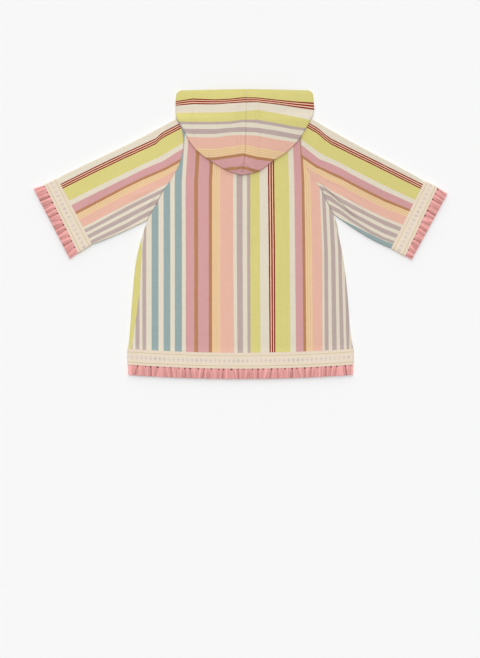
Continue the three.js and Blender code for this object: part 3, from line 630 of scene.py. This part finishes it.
class Finish:
    """A material and short words for its nodes."""

    def __init__(self, name):
        self.material = bpy.data.materials.new(name)
        self.material.use_nodes = True
        self.tree = self.material.node_tree
        self.tree.nodes.clear()
        self.surface = self.tree.nodes.new("ShaderNodeBsdfPrincipled")
        output = self.tree.nodes.new("ShaderNodeOutputMaterial")
        self.tree.links.new(self.surface.outputs[0], output.inputs[0])

    def put(self, value, socket):
        if isinstance(value, bpy.types.NodeSocket):
            self.tree.links.new(value, socket)
        else:
            socket.default_value = value

    def sum(self, operation, *values, clamp=False):
        """One Math node."""
        node = self.tree.nodes.new("ShaderNodeMath")
        node.operation, node.use_clamp = operation, clamp
        for value, socket in zip(values, node.inputs):
            self.put(value, socket)
        return node.outputs[0]

    def grey(self, value):
        """A grey of that value as a colour."""
        node = self.tree.nodes.new("ShaderNodeCombineColor")
        for socket in node.inputs[:3]:
            self.tree.links.new(value, socket)
        return node.outputs[0]

    def blend(self, share, a, b, kind="MIX"):
        """One Mix node for colours."""
        node = self.tree.nodes.new("ShaderNodeMix")
        node.data_type, node.blend_type = "RGBA", kind
        self.put(share, node.inputs[0])
        self.put(a, node.inputs[6])
        self.put(b, node.inputs[7])
        return node.outputs[2]

    def cloth_places(self):
        """The two places of the cloth's own map, in metres."""
        node = self.tree.nodes.new("ShaderNodeUVMap")
        node.uv_map = "cloth"
        split = self.tree.nodes.new("ShaderNodeSeparateXYZ")
        self.tree.links.new(node.outputs[0], split.inputs[0])
        return split.outputs[0], split.outputs[1]

    def place_across(self):
        """X across the robe, in metres."""
        node = self.tree.nodes.new("ShaderNodeTexCoord")
        split = self.tree.nodes.new("ShaderNodeSeparateXYZ")
        self.tree.links.new(node.outputs["Object"], split.inputs[0])
        return split.outputs[0]

    def value_of(self, key):
        """A value that the mesh keeps for each point."""
        node = self.tree.nodes.new("ShaderNodeAttribute")
        node.attribute_name = key
        return node.outputs[2]

    def noise(self, x, y, scale_x, scale_y, detail=2.0):
        """Noise over the cloth's map, stretched by the two scales."""
        joined = self.tree.nodes.new("ShaderNodeCombineXYZ")
        self.put(self.sum("MULTIPLY", x, scale_x), joined.inputs[0])
        self.put(self.sum("MULTIPLY", y, scale_y), joined.inputs[1])
        node = self.tree.nodes.new("ShaderNodeTexNoise")
        node.inputs["Scale"].default_value = 1.0
        node.inputs["Detail"].default_value = detail
        self.tree.links.new(joined.outputs[0], node.inputs["Vector"])
        return node.outputs[0]

    def bands(self, place, bands, whole):
        """Colours of a list of bands across a whole width. A ramp is read in 256 steps, so each
        takes eight bands and is stretched over just their width."""
        share = self.sum("DIVIDE", place, whole * MM)
        spot = self.sum("MULTIPLY", self.sum("FRACT", share), whole)
        edges = [0] + [end for end, _ in bands]
        result = None
        for first in range(0, len(bands), 8):
            part = bands[first : first + 8]
            low, width = edges[first], part[-1][0] - edges[first]
            ramp = self.tree.nodes.new("ShaderNodeValToRGB")
            ramp.color_ramp.interpolation = "CONSTANT"
            stops = ramp.color_ramp.elements
            stops.remove(stops[0])
            for k, (_, name) in enumerate(part):
                position = (edges[first + k] - low) / width
                stop = stops[0] if k == 0 else stops.new(position)
                stop.position = position
                stop.color = linear(name)
            local = self.sum("DIVIDE", self.sum("SUBTRACT", spot, low), width)
            self.tree.links.new(local, ramp.inputs[0])
            if result is None:
                result = ramp.outputs[0]
            else:
                past = self.sum("GREATER_THAN", spot, low)
                result = self.blend(past, result, ramp.outputs[0])
        return result

    def waves(self, place, pitch):
        """A sine of that pitch, in millimetres."""
        return self.sum("SINE", self.sum("MULTIPLY", place, 2 * np.pi / (pitch * MM)))

    def weave(self, x, y, pitch):
        """Height of a plain weave: the product of a wave across and a wave along, each two
        threads long."""
        return self.sum("MULTIPLY", self.waves(x, 2 * pitch), self.waves(y, 2 * pitch))

    def shaded(self, colour, shade):
        """A colour times a grey."""
        return self.blend(1.0, colour, self.grey(shade), "MULTIPLY")

    def bump(self, height, distance, strength):
        """A Bump node over a height."""
        node = self.tree.nodes.new("ShaderNodeBump")
        node.inputs["Distance"].default_value = distance
        node.inputs["Strength"].default_value = strength
        self.tree.links.new(height, node.inputs["Height"])
        return node.outputs[0]

    def finish(self, colour, normal, roughness=0.9):
        """Joins colour and normal to the surface and sets its plain values."""
        self.tree.links.new(colour, self.surface.inputs["Base Color"])
        self.tree.links.new(normal, self.surface.inputs["Normal"])
        self.surface.inputs["Roughness"].default_value = roughness
        self.surface.inputs["Sheen Weight"].default_value = 0.12
        self.surface.inputs["Sheen Roughness"].default_value = 0.5
        self.surface.inputs["Specular IOR Level"].default_value = 0.18
        return self.material


def striped_cotton():
    """Yarn-dyed plain weave: stripes along the warp, warp streaks, pale weft slubs and a fine
    thread relief, with painted shade that darkens the cloth towards +X."""
    cloth = Finish("striped cotton")
    x, y = cloth.cloth_places()
    waver = cloth.sum("MULTIPLY_ADD", cloth.noise(x, y, 300, 60), 0.0006, x)
    waver = cloth.sum("SUBTRACT", waver, 0.0003)
    colour = cloth.bands(waver, STRIPES, REPEAT)
    streaks = cloth.noise(x, y, 1100, 22)
    colour = cloth.blend(cloth.sum("MULTIPLY", streaks, 0.03), colour, (0.9, 0.83, 0.75, 1))
    slubs = cloth.sum("SUBTRACT", cloth.noise(x, y, 70, 1300), 0.6)
    slubs = cloth.sum("MULTIPLY", slubs, 1.2, clamp=True)
    colour = cloth.blend(slubs, colour, (0.93, 0.86, 0.78, 1))
    weave = cloth.weave(x, y, 0.6)
    shade = cloth.sum("MULTIPLY_ADD", weave, 0.045, 0.935)
    shade = cloth.sum("MULTIPLY_ADD", streaks, 0.12, shade)
    thick_weft = cloth.sum("SUBTRACT", cloth.noise(x, y, 38, 620), 0.62)
    shade = cloth.sum("SUBTRACT", shade, cloth.sum("MULTIPLY", thick_weft, 0.9, clamp=True))
    broad = cloth.sum("MULTIPLY_ADD", cloth.noise(x, y, 14, 9), 0.06, 0.99)
    # Painted shade: the cloth darkens by up to 6.5 % from X -0.16 m to X 0.22 m, as if lit from the -X
    # side.
    falloff = cloth.sum("MULTIPLY_ADD", cloth.place_across(), 2.6, 0.42, clamp=True)
    broad = cloth.sum("SUBTRACT", broad, cloth.sum("MULTIPLY", falloff, 0.065))
    colour = cloth.shaded(colour, cloth.sum("MULTIPLY", shade, broad))
    height = cloth.sum("MULTIPLY_ADD", streaks, 0.7, weave)
    return cloth.finish(colour, cloth.bump(height, 0.00012, 0.6))


# Bands across the tape, with its two fine lines
TAPE_BANDS = [
    (5.6, "tape"), (6.8, "tape line"), (25.8, "tape"), (27, "tape line"), (TAPE_WIDTH, "tape"),
]
# Lozenges of the tape: pitch, place across it and half height. Pitch of its ribs, and of the
# strands of the thread
LOZENGE_PITCH, LOZENGE_PLACE, LOZENGE_HALF, RIB_PITCH, STRAND_PITCH = 9.2, 16.3, 5.2, 0.9, 0.4


def woven_tape():
    """Ribbed cream tape: two fine yellow-green lines and a row of small pale lozenges between
    them."""
    tape = Finish("woven tape")
    x, y = tape.cloth_places()
    colour = tape.bands(y, TAPE_BANDS, TAPE_WIDTH)
    step = tape.sum("FRACT", tape.sum("DIVIDE", x, LOZENGE_PITCH * MM))
    aside = tape.sum("ABSOLUTE", tape.sum("SUBTRACT", step, 0.5))
    off = tape.sum("ABSOLUTE", tape.sum("SUBTRACT", y, LOZENGE_PLACE * MM))
    off = tape.sum("DIVIDE", off, LOZENGE_HALF * MM)
    inside = tape.sum("ADD", tape.sum("MULTIPLY", aside, 2.6), off)
    mark = tape.sum("LESS_THAN", inside, 0.9)
    speck = tape.sum("GREATER_THAN", tape.noise(x, y, 1500, 1500, 1), 0.45)
    depth = tape.sum("MULTIPLY_ADD", tape.noise(x, y, 25, 1, 1), 1.6, -0.3, clamp=True)
    mark = tape.sum("MULTIPLY", tape.sum("MULTIPLY", mark, speck), depth)
    colour = tape.blend(mark, colour, linear("motif"))
    broad = tape.sum("MULTIPLY_ADD", tape.noise(x, y, 30, 20), 0.08, 0.96)
    ribs = tape.waves(x, RIB_PITCH)
    shade = tape.sum("MULTIPLY_ADD", ribs, 0.025, 0.985)
    colour = tape.shaded(colour, tape.sum("MULTIPLY", shade, broad))
    height = tape.sum("ADD", ribs, tape.sum("MULTIPLY", mark, 0.8))
    return tape.finish(colour, tape.bump(height, 0.00012, 0.5), roughness=0.85)


def frill_cotton():
    """Fine pink cotton with painted shade: darker in its tucks, valleys and finer folds by a value that
    each point keeps, paler on its ridges.
    """
    frill = Finish("frill cotton")
    x, y = frill.cloth_places()
    grain = frill.sum("MULTIPLY_ADD", frill.noise(x, y, 420, 40), 0.3, 0.85)
    # Painted shade: the kept value blends the pink towards a dark red-brown where shade falls in the
    # tucks and valleys.
    tuck_and_painted_shade = frill.sum("MULTIPLY", frill.value_of("tuck_and_painted_shade"), 1.15, clamp=True)
    colour = frill.shaded(frill.blend(tuck_and_painted_shade, linear("frill"), linear("frill painted shade")), grain)
    weave = frill.weave(x, y, 0.45)
    return frill.finish(colour, frill.bump(weave, 0.00008, 0.5), roughness=0.88)


def sewing_thread():
    """Cream sewing thread with fine slanting strands."""
    thread = Finish("cream thread")
    x, y = thread.cloth_places()
    strands = thread.waves(thread.sum("ADD", x, y), STRAND_PITCH)
    shade = thread.sum("MULTIPLY_ADD", strands, 0.05, 0.95)
    colour = thread.shaded(linear("thread"), shade)
    return thread.finish(colour, thread.bump(strands, 0.00005, 0.5), roughness=0.7)


FINISHES = {
    "striped_cotton": striped_cotton(),
    "woven_tape": woven_tape(),
    "frill_cotton": frill_cotton(),
    "thread": sewing_thread(),
}


def dress(piece, node, slot):
    """Gives a piece its finish and its body, and hides the imported part of the node that it stands
    for."""
    piece.data.materials.append(FINISHES[slot])
    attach(piece, "root")
    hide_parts(node)


# Cutting the body

PANEL_ROWS = np.concatenate([
    packed(TOP_ROW, 43, 78, 0.3), np.linspace(41, 0, 24), np.linspace(-3, -224, 78),
    np.linspace(-226, HEM_LAP, 10),
])


def body_stripes(points):
    """Stripe place on the back."""
    x, y = seen(points)
    return stripe_place(BODY_MARKS, BODY_STRIPES, y, x)


back = back_grid(PANEL_ROWS, packed(0, 1, 150, 0.35))
back_uv = np.stack([body_stripes(back), back[..., 1]], -1) * MM
dress(
    shell("back_cloth", turn(back), -COTTON, 0, -1, uv=turn(back_uv)),
    "back", "striped_cotton",
)

# Stripes of the left front, on which lime reaches the side fold: place in the repeat at X 0
LEFT_FRONT_START = 474.5


def front_lift(row, f, width, x):
    """Faint creases of the fronts, which rise off the floor between places that rest."""
    y = row + 0 * x
    table = CREASES[[0, 1, 2, 4]] * (1, 1, 1, 1, 0.8, 0.7)
    return ridges(table, x, y) * ease(f * width, 4, 20) * ease((1 - f) * width, 4, 20)


for side in ("left", "right"):
    points, _ = front_grid(side, PANEL_ROWS, packed(0, 1, 74, 0.3), front_lift)
    place = points[..., 0] + LEFT_FRONT_START if side == "left" else body_stripes(points)
    uv = np.stack([place, points[..., 1]], -1) * MM
    dress(
        shell("front_%s_cloth" % side, turn(points), -COTTON, 0, SIGN[side], uv=turn(uv)),
        "front_" + side, "striped_cotton",
    )

# Hem tape
TAPE_ROWS = np.linspace(HEM_ROW, HEM_BOTTOM, 12)


def tape_map(points, run):
    """Map of the tape: the length along it, and the place across it from its upper edge."""
    row = np.linspace(0, TAPE_WIDTH, len(points))[:, None] + 0 * run
    return np.stack([run, row], -1) * MM


# Rows of the two seams that hold the tape, three at a time so that the middle one has a slope
SEAM_ROWS = [edge + np.array([0.5, 0, -0.5]) for edge in (HEM_ROW - 1.5, HEM_BOTTOM + 1.5)]
tape_columns = np.linspace(0, 1, 170)
points = back_grid(TAPE_ROWS, tape_columns, fine=False)
uv = tape_map(points, points[..., 0] + 230)
sewn = stitches("hem_tape_back_stitches", [
    face_line(back_grid(rows, tape_columns, fine=False), -1) for rows in SEAM_ROWS
])
dress(
    shell("hem_tape_back_band", turn(points), TAPE_LIFT, TAPE_LIFT + TAPE, -1, uv=turn(uv)),
    "hem_tape_back", "woven_tape",
)
for side in ("left", "right"):
    tape_columns = np.linspace(0, 1, 80)
    points, run = front_grid(side, TAPE_ROWS, tape_columns)
    uv = tape_map(points, run)
    sewn = stitches("hem_tape_front_%s_stitches" % side, [
        face_line(front_grid(side, rows, tape_columns)[0], SIGN[side]) for rows in SEAM_ROWS
    ])
    dress(
        shell(
            "hem_tape_front_%s_band" % side, turn(points), TAPE_LIFT, TAPE_LIFT + TAPE, SIGN[side],
            uv=turn(uv),
        ),
        "hem_tape_front_" + side, "woven_tape",
    )

# Frills
PLEATS = {"back": 33, "front": 17, "cuff": 12}


def pleats(count, out, seed):
    """Height of a frill and how much painted shade a place has. Tucks are bell-shaped hollows, deep
    and narrow at the tape and shallow and wide at the free edge. Between them the cloth swells as a
    squared sine, with two finer waves on it. The counts waver, so no two pleats are alike. The
    painted shade is a dark dot in each of the tucks at the tape, and darkening in the tucks, on one
    flank of each pleat and in the troughs of the finer waves."""
    phase = count + 0.13 * np.sin(count * 2.3 + seed) + 0.07 * np.sin(count * 5.1 + 2 * seed)
    phase = phase + out * (0.22 * np.sin(count * 1.9 + seed) + 0.14 * np.sin(count * 0.7 + seed))
    nearest = np.round(phase)
    off = phase - nearest
    uneven = 0.72 + 0.28 * np.sin(nearest * 2.4 + seed)
    free = np.maximum(out, 0)
    tuck_and_painted_shade = np.exp(-((off / mix(0.075, 0.24, free**0.6)) ** 2))
    crown = np.sin(np.pi * off) ** 2 * (0.8 + 0.2 * np.sin(nearest * 1.7 + seed))
    fine = np.sin(2 * np.pi * (2.6 * phase + 0.5 * np.sin(count * 1.3))) * ease(out, 0.05, 0.4)
    finer = np.sin(2 * np.pi * (4.7 * phase + 0.8 * np.sin(count * 0.9 + seed))) * ease(out, 0.1, 0.5)
    hollow = mix(2.1, 0.6, free**0.5) * uneven * tuck_and_painted_shade
    height = mix(0.35, 1.6, free) * crown + 0.3 * fine + 0.12 * finer - hollow
    # Painted shade: a dark dot where each of the tucks meets the tape.
    painted_dot_shade = np.exp(-((off / 0.1) ** 4)) * (0.6 + 0.4 * uneven)
    painted_dot_shade = painted_dot_shade * (1 - ease(out, 0.05, 0.2)) * ease(out, -0.1, 0)
    # Painted shade: darker in the tucks, on one side of each pleat and in the troughs of the finer
    # waves.
    flank = 0.5 - 0.5 * np.sin(2 * np.pi * off + 0.9)
    painted_valley_shade = 0.45 * tuck_and_painted_shade * uneven + 0.2 * flank**3
    painted_valley_shade = painted_valley_shade + 0.18 * (0.5 - 0.5 * fine) ** 3 + 0.1 * (0.5 - 0.5 * finer) ** 2
    return height, np.clip(painted_dot_shade + painted_valley_shade * ease(out, -0.1, 0.1), 0, 1)


FRILL_ROWS = np.concatenate([
    np.linspace(HEM_LAP - SEAM, HEM_BOTTOM + 0.6, 5), np.linspace(HEM_BOTTOM, HEM_END, 20),
])


def hem_pleats(total, seed, upwards=1):
    """Lift of a hem frill, calm at both ends. Seen from below, hollows become rises."""
    def lift(row, f, width, x):
        ends = ease(f * width, 0, 9) * ease((1 - f) * width, 0, 9)
        height, _ = pleats(f * total, frill_out(row), seed)
        under = ease(HEM_BOTTOM + 5 - row, 0, 5)
        if upwards < 0:
            height = 2.1 * ends - height * 0.6
            return np.maximum(height, 0) * ends * under * frill_out(row) ** 0.6
        return height * ends * under
    return lift


def frill_marks(rows, columns, total, seed, tail=0):
    """Painted shade of each place of a frill, darkest in its tucks, with calm places added for the
    turn.
    """
    row, f = np.asarray(rows, float)[:, None], np.asarray(columns, float)[None]
    out = np.where(row > HEM_BOTTOM, (HEM_BOTTOM - row) / 20, frill_out(row))
    _, painted_frill_shade = pleats(f * total, out, seed)
    return np.pad(painted_frill_shade, ((0, 0), (0, tail)))


columns = np.linspace(0, 1, PLEATS["back"] * 14 + 1)
points = back_grid(FRILL_ROWS, columns, hem_pleats(PLEATS["back"], 0.4), fine=False)
uv = np.stack([points[..., 0], points[..., 1]], -1) * MM
# The frill keeps its painted shade as a value for each point.
tucks = {"tuck_and_painted_shade": turn(frill_marks(FRILL_ROWS, columns, PLEATS["back"], 0.4))}
dress(
    shell("hem_frill_back_cloth", turn(points), -FRILL, 0, -1, uv=turn(uv), marks=tucks),
    "hem_frill_back", "frill_cotton",
)
for side in ("left", "right"):
    columns = np.linspace(0, 1, PLEATS["front"] * 12 + 1)
    points, run = front_grid(side, FRILL_ROWS, columns, hem_pleats(PLEATS["front"], 1.9, -1))
    uv = np.stack([run, points[..., 1]], -1) * MM
    # Painted shade of the front frill, none where it turns over.
    painted_frill_shade = frill_marks(FRILL_ROWS, columns, PLEATS["front"], 1.9, FOLD_STEPS + OVER_STEPS)
    dress(
        shell(
            "hem_frill_front_%s_cloth" % side, turn(points), -FRILL, 0, SIGN[side], uv=turn(uv),
            marks={"tuck_and_painted_shade": turn(painted_frill_shade)},
        ),
        "hem_frill_front_" + side, "frill_cotton",
    )


# Sleeves

def sleeve_plan(side, across, at):
    """Plan point of a sleeve: straight from the armhole to the first cuff line and on to the
    next ones, less a sag in the middle. across is 0 at the top fold and 1 at the underarm."""
    lines = CUFFS[side]
    row = mix(TOP_ROW, UNDERARM[side], across)
    seam = side_x(side, row)
    gap = SIGN[side] * SEAM * mix(0.3, 3.6, seam_depth(side, row))
    start = np.stack([seam + gap, row_y(seam, row, back_neck)], -1)
    marks = [start] + [mix(line[:2], line[2:], across[..., None]) for line in lines]
    i = np.clip(np.floor(at).astype(int), 0, 2)
    f = (at - i)[..., None]
    low, high = marks[0], marks[1]
    plan = np.where(i[..., None] == 0, mix(low, high, f), 0)
    for k in (1, 2):
        plan = np.where(i[..., None] == k, mix(marks[k], marks[k + 1], f), plan)
    under_bow, top_bow = SLEEVE_BOW[side]
    near = np.minimum(at, 1)
    bow = under_bow * across**2 + top_bow * (1 - near) * (1 - across) ** 2
    plan[..., 1] -= np.sin(np.pi * near) * bow
    return plan


# Steps round each fold of a sleeve, and the points between them
SLEEVE_FOLD_STEPS = 9
FOLD_POINTS = SLEEVE_FOLD_STEPS - 1


def sleeve_grid(side, places, lower, upper, lift=None):
    """A sleeve as rings, one line per place along it: the run on the floor, the underarm fold,
    the upper run and the top fold. Returns the points, the places across and the distance
    from the top fold."""
    at = np.asarray(places, float)[:, None]
    zero, one = np.zeros_like(at), np.ones_like(at)
    a, b = sleeve_plan(side, zero, at), sleeve_plan(side, one, at)
    width = np.linalg.norm(b - a, axis=-1)
    floor, top, inset = [np.interp(at, SLEEVE_FORM[:, 0], SLEEVE_FORM[:, k]) for k in (1, 2, 3)]
    radius = (top - floor) / 2
    first, last = inset + radius, width - inset - radius
    k = np.arange(1, SLEEVE_FOLD_STEPS)[None] * np.pi / SLEEVE_FOLD_STEPS
    low_f, high_f = np.asarray(lower, float)[None], np.asarray(upper, float)[None, ::-1]
    bulge, high = radius * np.sin(k), radius * np.cos(k)
    along = [mix(first, last, low_f), last + bulge, mix(first, last, high_f), first - bulge]
    z = [floor + 0 * low_f, floor + radius - high, top + 0 * high_f, floor + radius + high]
    if lift is not None:
        z[0], z[2] = z[0] + lift(at, low_f, -1), z[2] + lift(at, high_f, 1)
    along, z = [
        np.concatenate([np.broadcast_to(p, (len(at), p.shape[1])) for p in part], 1)
        for part in (along, z)
    ]
    across = along / width
    plan = sleeve_plan(side, across, at + 0 * across)
    x, y = plan[..., 0], plan[..., 1]
    upper_layer = np.repeat([0.0, 1.0, 0.0], [low_f.size + k.size, high_f.size, k.size])[None]
    soft = (1 - ease(at, 0.85, 1)) * ease(at, 0, 0.12)
    broad = ridges(CREASES, x, y)
    creases = broad + ridges(FINE_CREASES, x, y) + ledges(LEDGES, x, y) + ripple(x, y)
    seam = seam_dip(at * 230) * seam_depth(side, mix(TOP_ROW, UNDERARM[side], across))
    inside = ease(across, 0, 0.06) * ease(1 - across, 0, 0.06)
    z = z + upper_layer * (creases * soft * inside - seam)
    under = (1 - upper_layer) * (z < 2)
    inside = ease(across, 0.03, 0.15) * ease(1 - across, 0.03, 0.15)
    z = z + under * 0.5 * broad * soft * inside
    return np.stack([x, y, z], -1), across, np.abs(along - first)


def sleeve_stripes(side, points):
    """Stripe place on the upper side of a sleeve."""
    stations = [
        (place, red + TOP_CREAM, red, red - RED_WIDTH, *others)
        for place, red, *others in SLEEVE_STRIPES[side]
    ]
    return stripe_place(SLEEVE_MARKS[side], stations, *seen(points))


LOWER = np.linspace(0, 1, 60)
UPPER = np.linspace(0, 1, 140)
RUNS = np.linspace(0, 1, 60)
CLOTH_PLACES = np.concatenate([
    [0, 0.004, 0.008, 0.014], np.linspace(0.022, 1, 136), np.linspace(1.08, 1.45, 4),
])
# Width of the cuff and height of its frill, for their maps
CUFF_WIDTH, CUFF_FRILL = 148, 24
for side in ("left", "right"):
    facing = -SIGN[side]
    points, _, _ = sleeve_grid(side, CLOTH_PLACES, LOWER, UPPER)
    shown = sleeve_stripes(side, points)
    top_side = np.arange(points.shape[1])[None] >= LOWER.size + FOLD_POINTS // 2
    place = np.where(top_side, shown, 2 * SLEEVE_MARKS[side][0] - shown)
    uv = np.stack([place, points[..., 0]], -1) * MM
    dress(
        shell("sleeve_%s_cloth" % side, turn(points), -COTTON, 0, facing, closed=True, uv=turn(uv)),
        "sleeve_" + side, "striped_cotton",
    )
    places = np.linspace(1, 2, 12)
    points, across, run = sleeve_grid(side, places, RUNS, RUNS)
    row = (places[:, None] - 1) * TAPE_WIDTH + 0 * run
    uv = np.stack([across * CUFF_WIDTH, row], -1) * MM
    sewn = stitches("cuff_tape_%s_stitches" % side, [
        face_line(sleeve_grid(side, at, RUNS, RUNS)[0], facing, closed=True)
        for at in ((1.03, 1.05, 1.07), (1.93, 1.95, 1.97))
    ])
    dress(
        shell(
            "cuff_tape_%s_band" % side, turn(points), TAPE_LIFT, TAPE_LIFT + TAPE, facing, closed=True,
            uv=turn(uv),
        ),
        "cuff_tape_" + side, "woven_tape",
    )
    seed = 2.7 if side == "left" else 4.1

    def cuff_pleats(at, f, way, seed=seed):
        """Lift of a cuff frill on one layer."""
        out = np.clip(at - 2, 0, 1)
        ends = ease(f, 0, 0.05) * ease(1 - f, 0, 0.05)
        height, _ = pleats(f * PLEATS["cuff"], out, seed)
        height = height * ease(at, 1.7, 2)
        if way < 0:
            height = np.maximum(2 - height * 0.6, 0) * out**0.6
        return height * ends

    places = np.concatenate([np.linspace(1.5, 1.96, 4), np.linspace(2, 3, 20)])
    runs = np.linspace(0, 1, PLEATS["cuff"] * 13 + 1)
    points, across, _ = sleeve_grid(side, places, runs, runs, cuff_pleats)
    uv = np.stack([across * CUFF_WIDTH, places[:, None] * CUFF_FRILL + 0 * across], -1) * MM
    out = places[:, None] - 2
    # Painted shade of the cuff frill, with none on its two folds.
    calm = np.zeros((len(places), FOLD_POINTS))
    _, painted_frill_shade = pleats(runs[None] * PLEATS["cuff"], np.clip(out, 0, 1), seed)
    painted_frill_shade = np.concatenate([painted_frill_shade, calm, painted_frill_shade[:, ::-1], calm], 1) * (out > -0.1)
    dress(
        shell(
            "cuff_frill_%s_cloth" % side, turn(points), -FRILL, 0, facing, closed=True,
            uv=turn(uv), marks={"tuck_and_painted_shade": turn(painted_frill_shade)},
        ),
        "cuff_frill_" + side, "frill_cotton",
    )


# Hood

def hood_under(x, y, on_floor):
    """Underside of the hood's hidden layer: on the floor beyond the shoulders, and on the back
    elsewhere, with a smooth drop between."""
    row = np.clip(y, HEM_ROW, TOP_ROW - 8)
    held_x = np.clip(x, side_x("left", row), side_x("right", row))
    on_back = back_top(held_x, y, row, fine=False) + 2 * SEAM
    drop = 1 - ease(y - back_neck(x), 1.5, SHOULDER_DROP)
    return np.where(on_floor, 0, on_back * drop)


def hood_grid(side, count=100):
    """Half of the hood: each section is a hidden run along a curve with one bend, an arc round
    the side fold, and an upper run that swells as a quarter sine to the centre seam. The
    twelve sections are joined by smooth cubics."""
    table = HOOD[side]
    neck_x, gap, bend, fold = table[:, 0], table[:, 1], table[:, 2:4], table[:, 4:6]
    seam = table[:, 6:8] + [SIGN[side] * SEAM / 2, 0]
    on_floor = gap > 0
    neck_y = np.where(on_floor, front_neck(neck_x) + gap, back_neck(neck_x))
    start = np.stack([neck_x, neck_y], -1)

    def unit(v):
        return v / np.linalg.norm(v, axis=-1, keepdims=True)

    inward = unit(unit(start - fold) + unit(seam - fold))
    centre = fold + inward * HOOD_FOLD
    base = hood_under(centre[:, 0], centre[:, 1], on_floor)
    f = np.linspace(0, 1, HIDDEN_STEPS)[None, :, None]
    hidden = (1 - f) ** 2 * start[:, None] + 2 * f * (1 - f) * bend[:, None] + f * f * centre[:, None]
    hidden_z = hood_under(hidden[..., 0], hidden[..., 1], on_floor[:, None])
    hidden_z = mix(hidden_z, base[:, None], f[..., 0] ** 3)
    a = np.pi * np.arange(1, ROUND_STEPS + 1)[None, :, None] / (ROUND_STEPS + 1)
    round_fold = centre[:, None] - inward[:, None] * HOOD_FOLD * np.sin(a)
    round_z = base[:, None] + HOOD_FOLD * (1 - np.cos(a[..., 0]))
    shown_run = packed(0, 1, 64, 0.25)
    g = shown_run[None, :, None]
    shown = mix(centre[:, None], seam[:, None], g)
    length = np.arange(len(table)) / (len(table) - 1)
    puff = HOOD_PUFF * np.sin(np.pi * mix(0.36, 1, length) ** 1.6)
    held = hood_under(table[:, 6], np.minimum(table[:, 7], NECK_BACK - 4), False)
    crown = held + 2 * HOOD_FOLD
    swell = np.sin(np.pi / 2 * g[..., 0])
    shown_z = mix((base + 2 * HOOD_FOLD)[:, None], crown[:, None], g[..., 0]) + puff[:, None] * swell
    plan = np.concatenate([hidden, round_fold, shown], 1)
    z = np.concatenate([hidden_z, round_z, shown_z], 1)
    coarse = np.concatenate([plan, z[..., None]], -1)
    grid = through(np.arange(len(table)), coarse, np.linspace(0, len(table) - 1, count))
    lower = HIDDEN_STEPS + ROUND_STEPS
    upper = np.arange(grid.shape[1]) >= lower
    x, y = grid[..., 0], grid[..., 1]
    shaped = ridges(HOOD_CREASES, x, y) + 0.8 * ripple(x * 1.3, y)
    from_fold, to_seam = [
        np.concatenate([np.zeros(lower), share * SHOWN_RUN]) for share in (shown_run, 1 - shown_run)
    ]
    grid[..., 2] += upper * (shaped * ease(from_fold, 1, 14) - seam_dip(to_seam, 1.0, 1.4))
    grid[..., 2] = np.maximum(grid[..., 2], 0)
    return grid


for side in ("left", "right"):
    points = hood_grid(side)
    shown = stripe_place(HOOD_MARKS, HOOD_STRIPES, *seen(points))
    uv = np.stack([shown, points[..., 0]], -1) * MM
    dress(
        shell("hood_%s_cloth" % side, turn(points), -COTTON, 0, SIGN[side], uv=turn(uv)),
        "hood_" + side, "striped_cotton",
    )


# Floor, light and camera

FLOOR_SIDE, FLOOR_DEPTH, FLOOR_WHITE, SKY = 6, 0.0003, 0.9387, 0.28
# Each lamp's power, angle and turn
LAMPS = {
    "low lamp": (1.25, 68, (-55, 0, 2)),
    "wide lamp above": (1.545, 36, (-4, 0, 0)),
}
LENS, SENSOR = 109.4, 36


def plain_floor():
    """A pale matt floor."""
    ways = ((-1, -1), (1, -1), (1, 1), (-1, 1))
    points = np.array([(FLOOR_SIDE * x, FLOOR_SIDE * y, -FLOOR_DEPTH) for x, y in ways])
    floor = mesh_piece("floor", points, np.array([[0, 1, 2, 3]]))
    material = bpy.data.materials.new("pale floor")
    material.use_nodes = True
    surface = material.node_tree.nodes["Principled BSDF"]
    surface.inputs["Base Color"].default_value = (FLOOR_WHITE, FLOOR_WHITE, FLOOR_WHITE, 1)
    surface.inputs["Roughness"].default_value = 1.0
    surface.inputs["Specular IOR Level"].default_value = 0.0
    floor.data.materials.append(material)


def light_and_camera():
    """An even pale sky, a wide lamp above, a soft low one from the hood's side, and a long lens
    straight above."""
    scene = bpy.context.scene
    world = bpy.data.worlds.new("studio")
    scene.world = world
    world.use_nodes = True
    sky = world.node_tree.nodes["Background"]
    sky.inputs[0].default_value = (1, 1, 1, 1)
    sky.inputs[1].default_value = SKY
    for name, (power, angle, turned_by) in LAMPS.items():
        lamp = bpy.data.lights.new(name, "SUN")
        lamp.energy = power
        lamp.angle = np.radians(angle)
        lamp_object = bpy.data.objects.new(name, lamp)
        lamp_object.rotation_euler = np.radians(turned_by)
        scene.collection.objects.link(lamp_object)
    lens = bpy.data.cameras.new("camera")
    lens.lens = LENS
    lens.sensor_width = SENSOR
    lens.clip_end = 50
    camera = bpy.data.objects.new("camera", lens)
    camera.location = [MM * place for place in EYE]
    scene.collection.objects.link(camera)
    scene.camera = camera
    scene.view_settings.view_transform = "Standard"
    scene.view_settings.look = "None"


plain_floor()
light_and_camera()
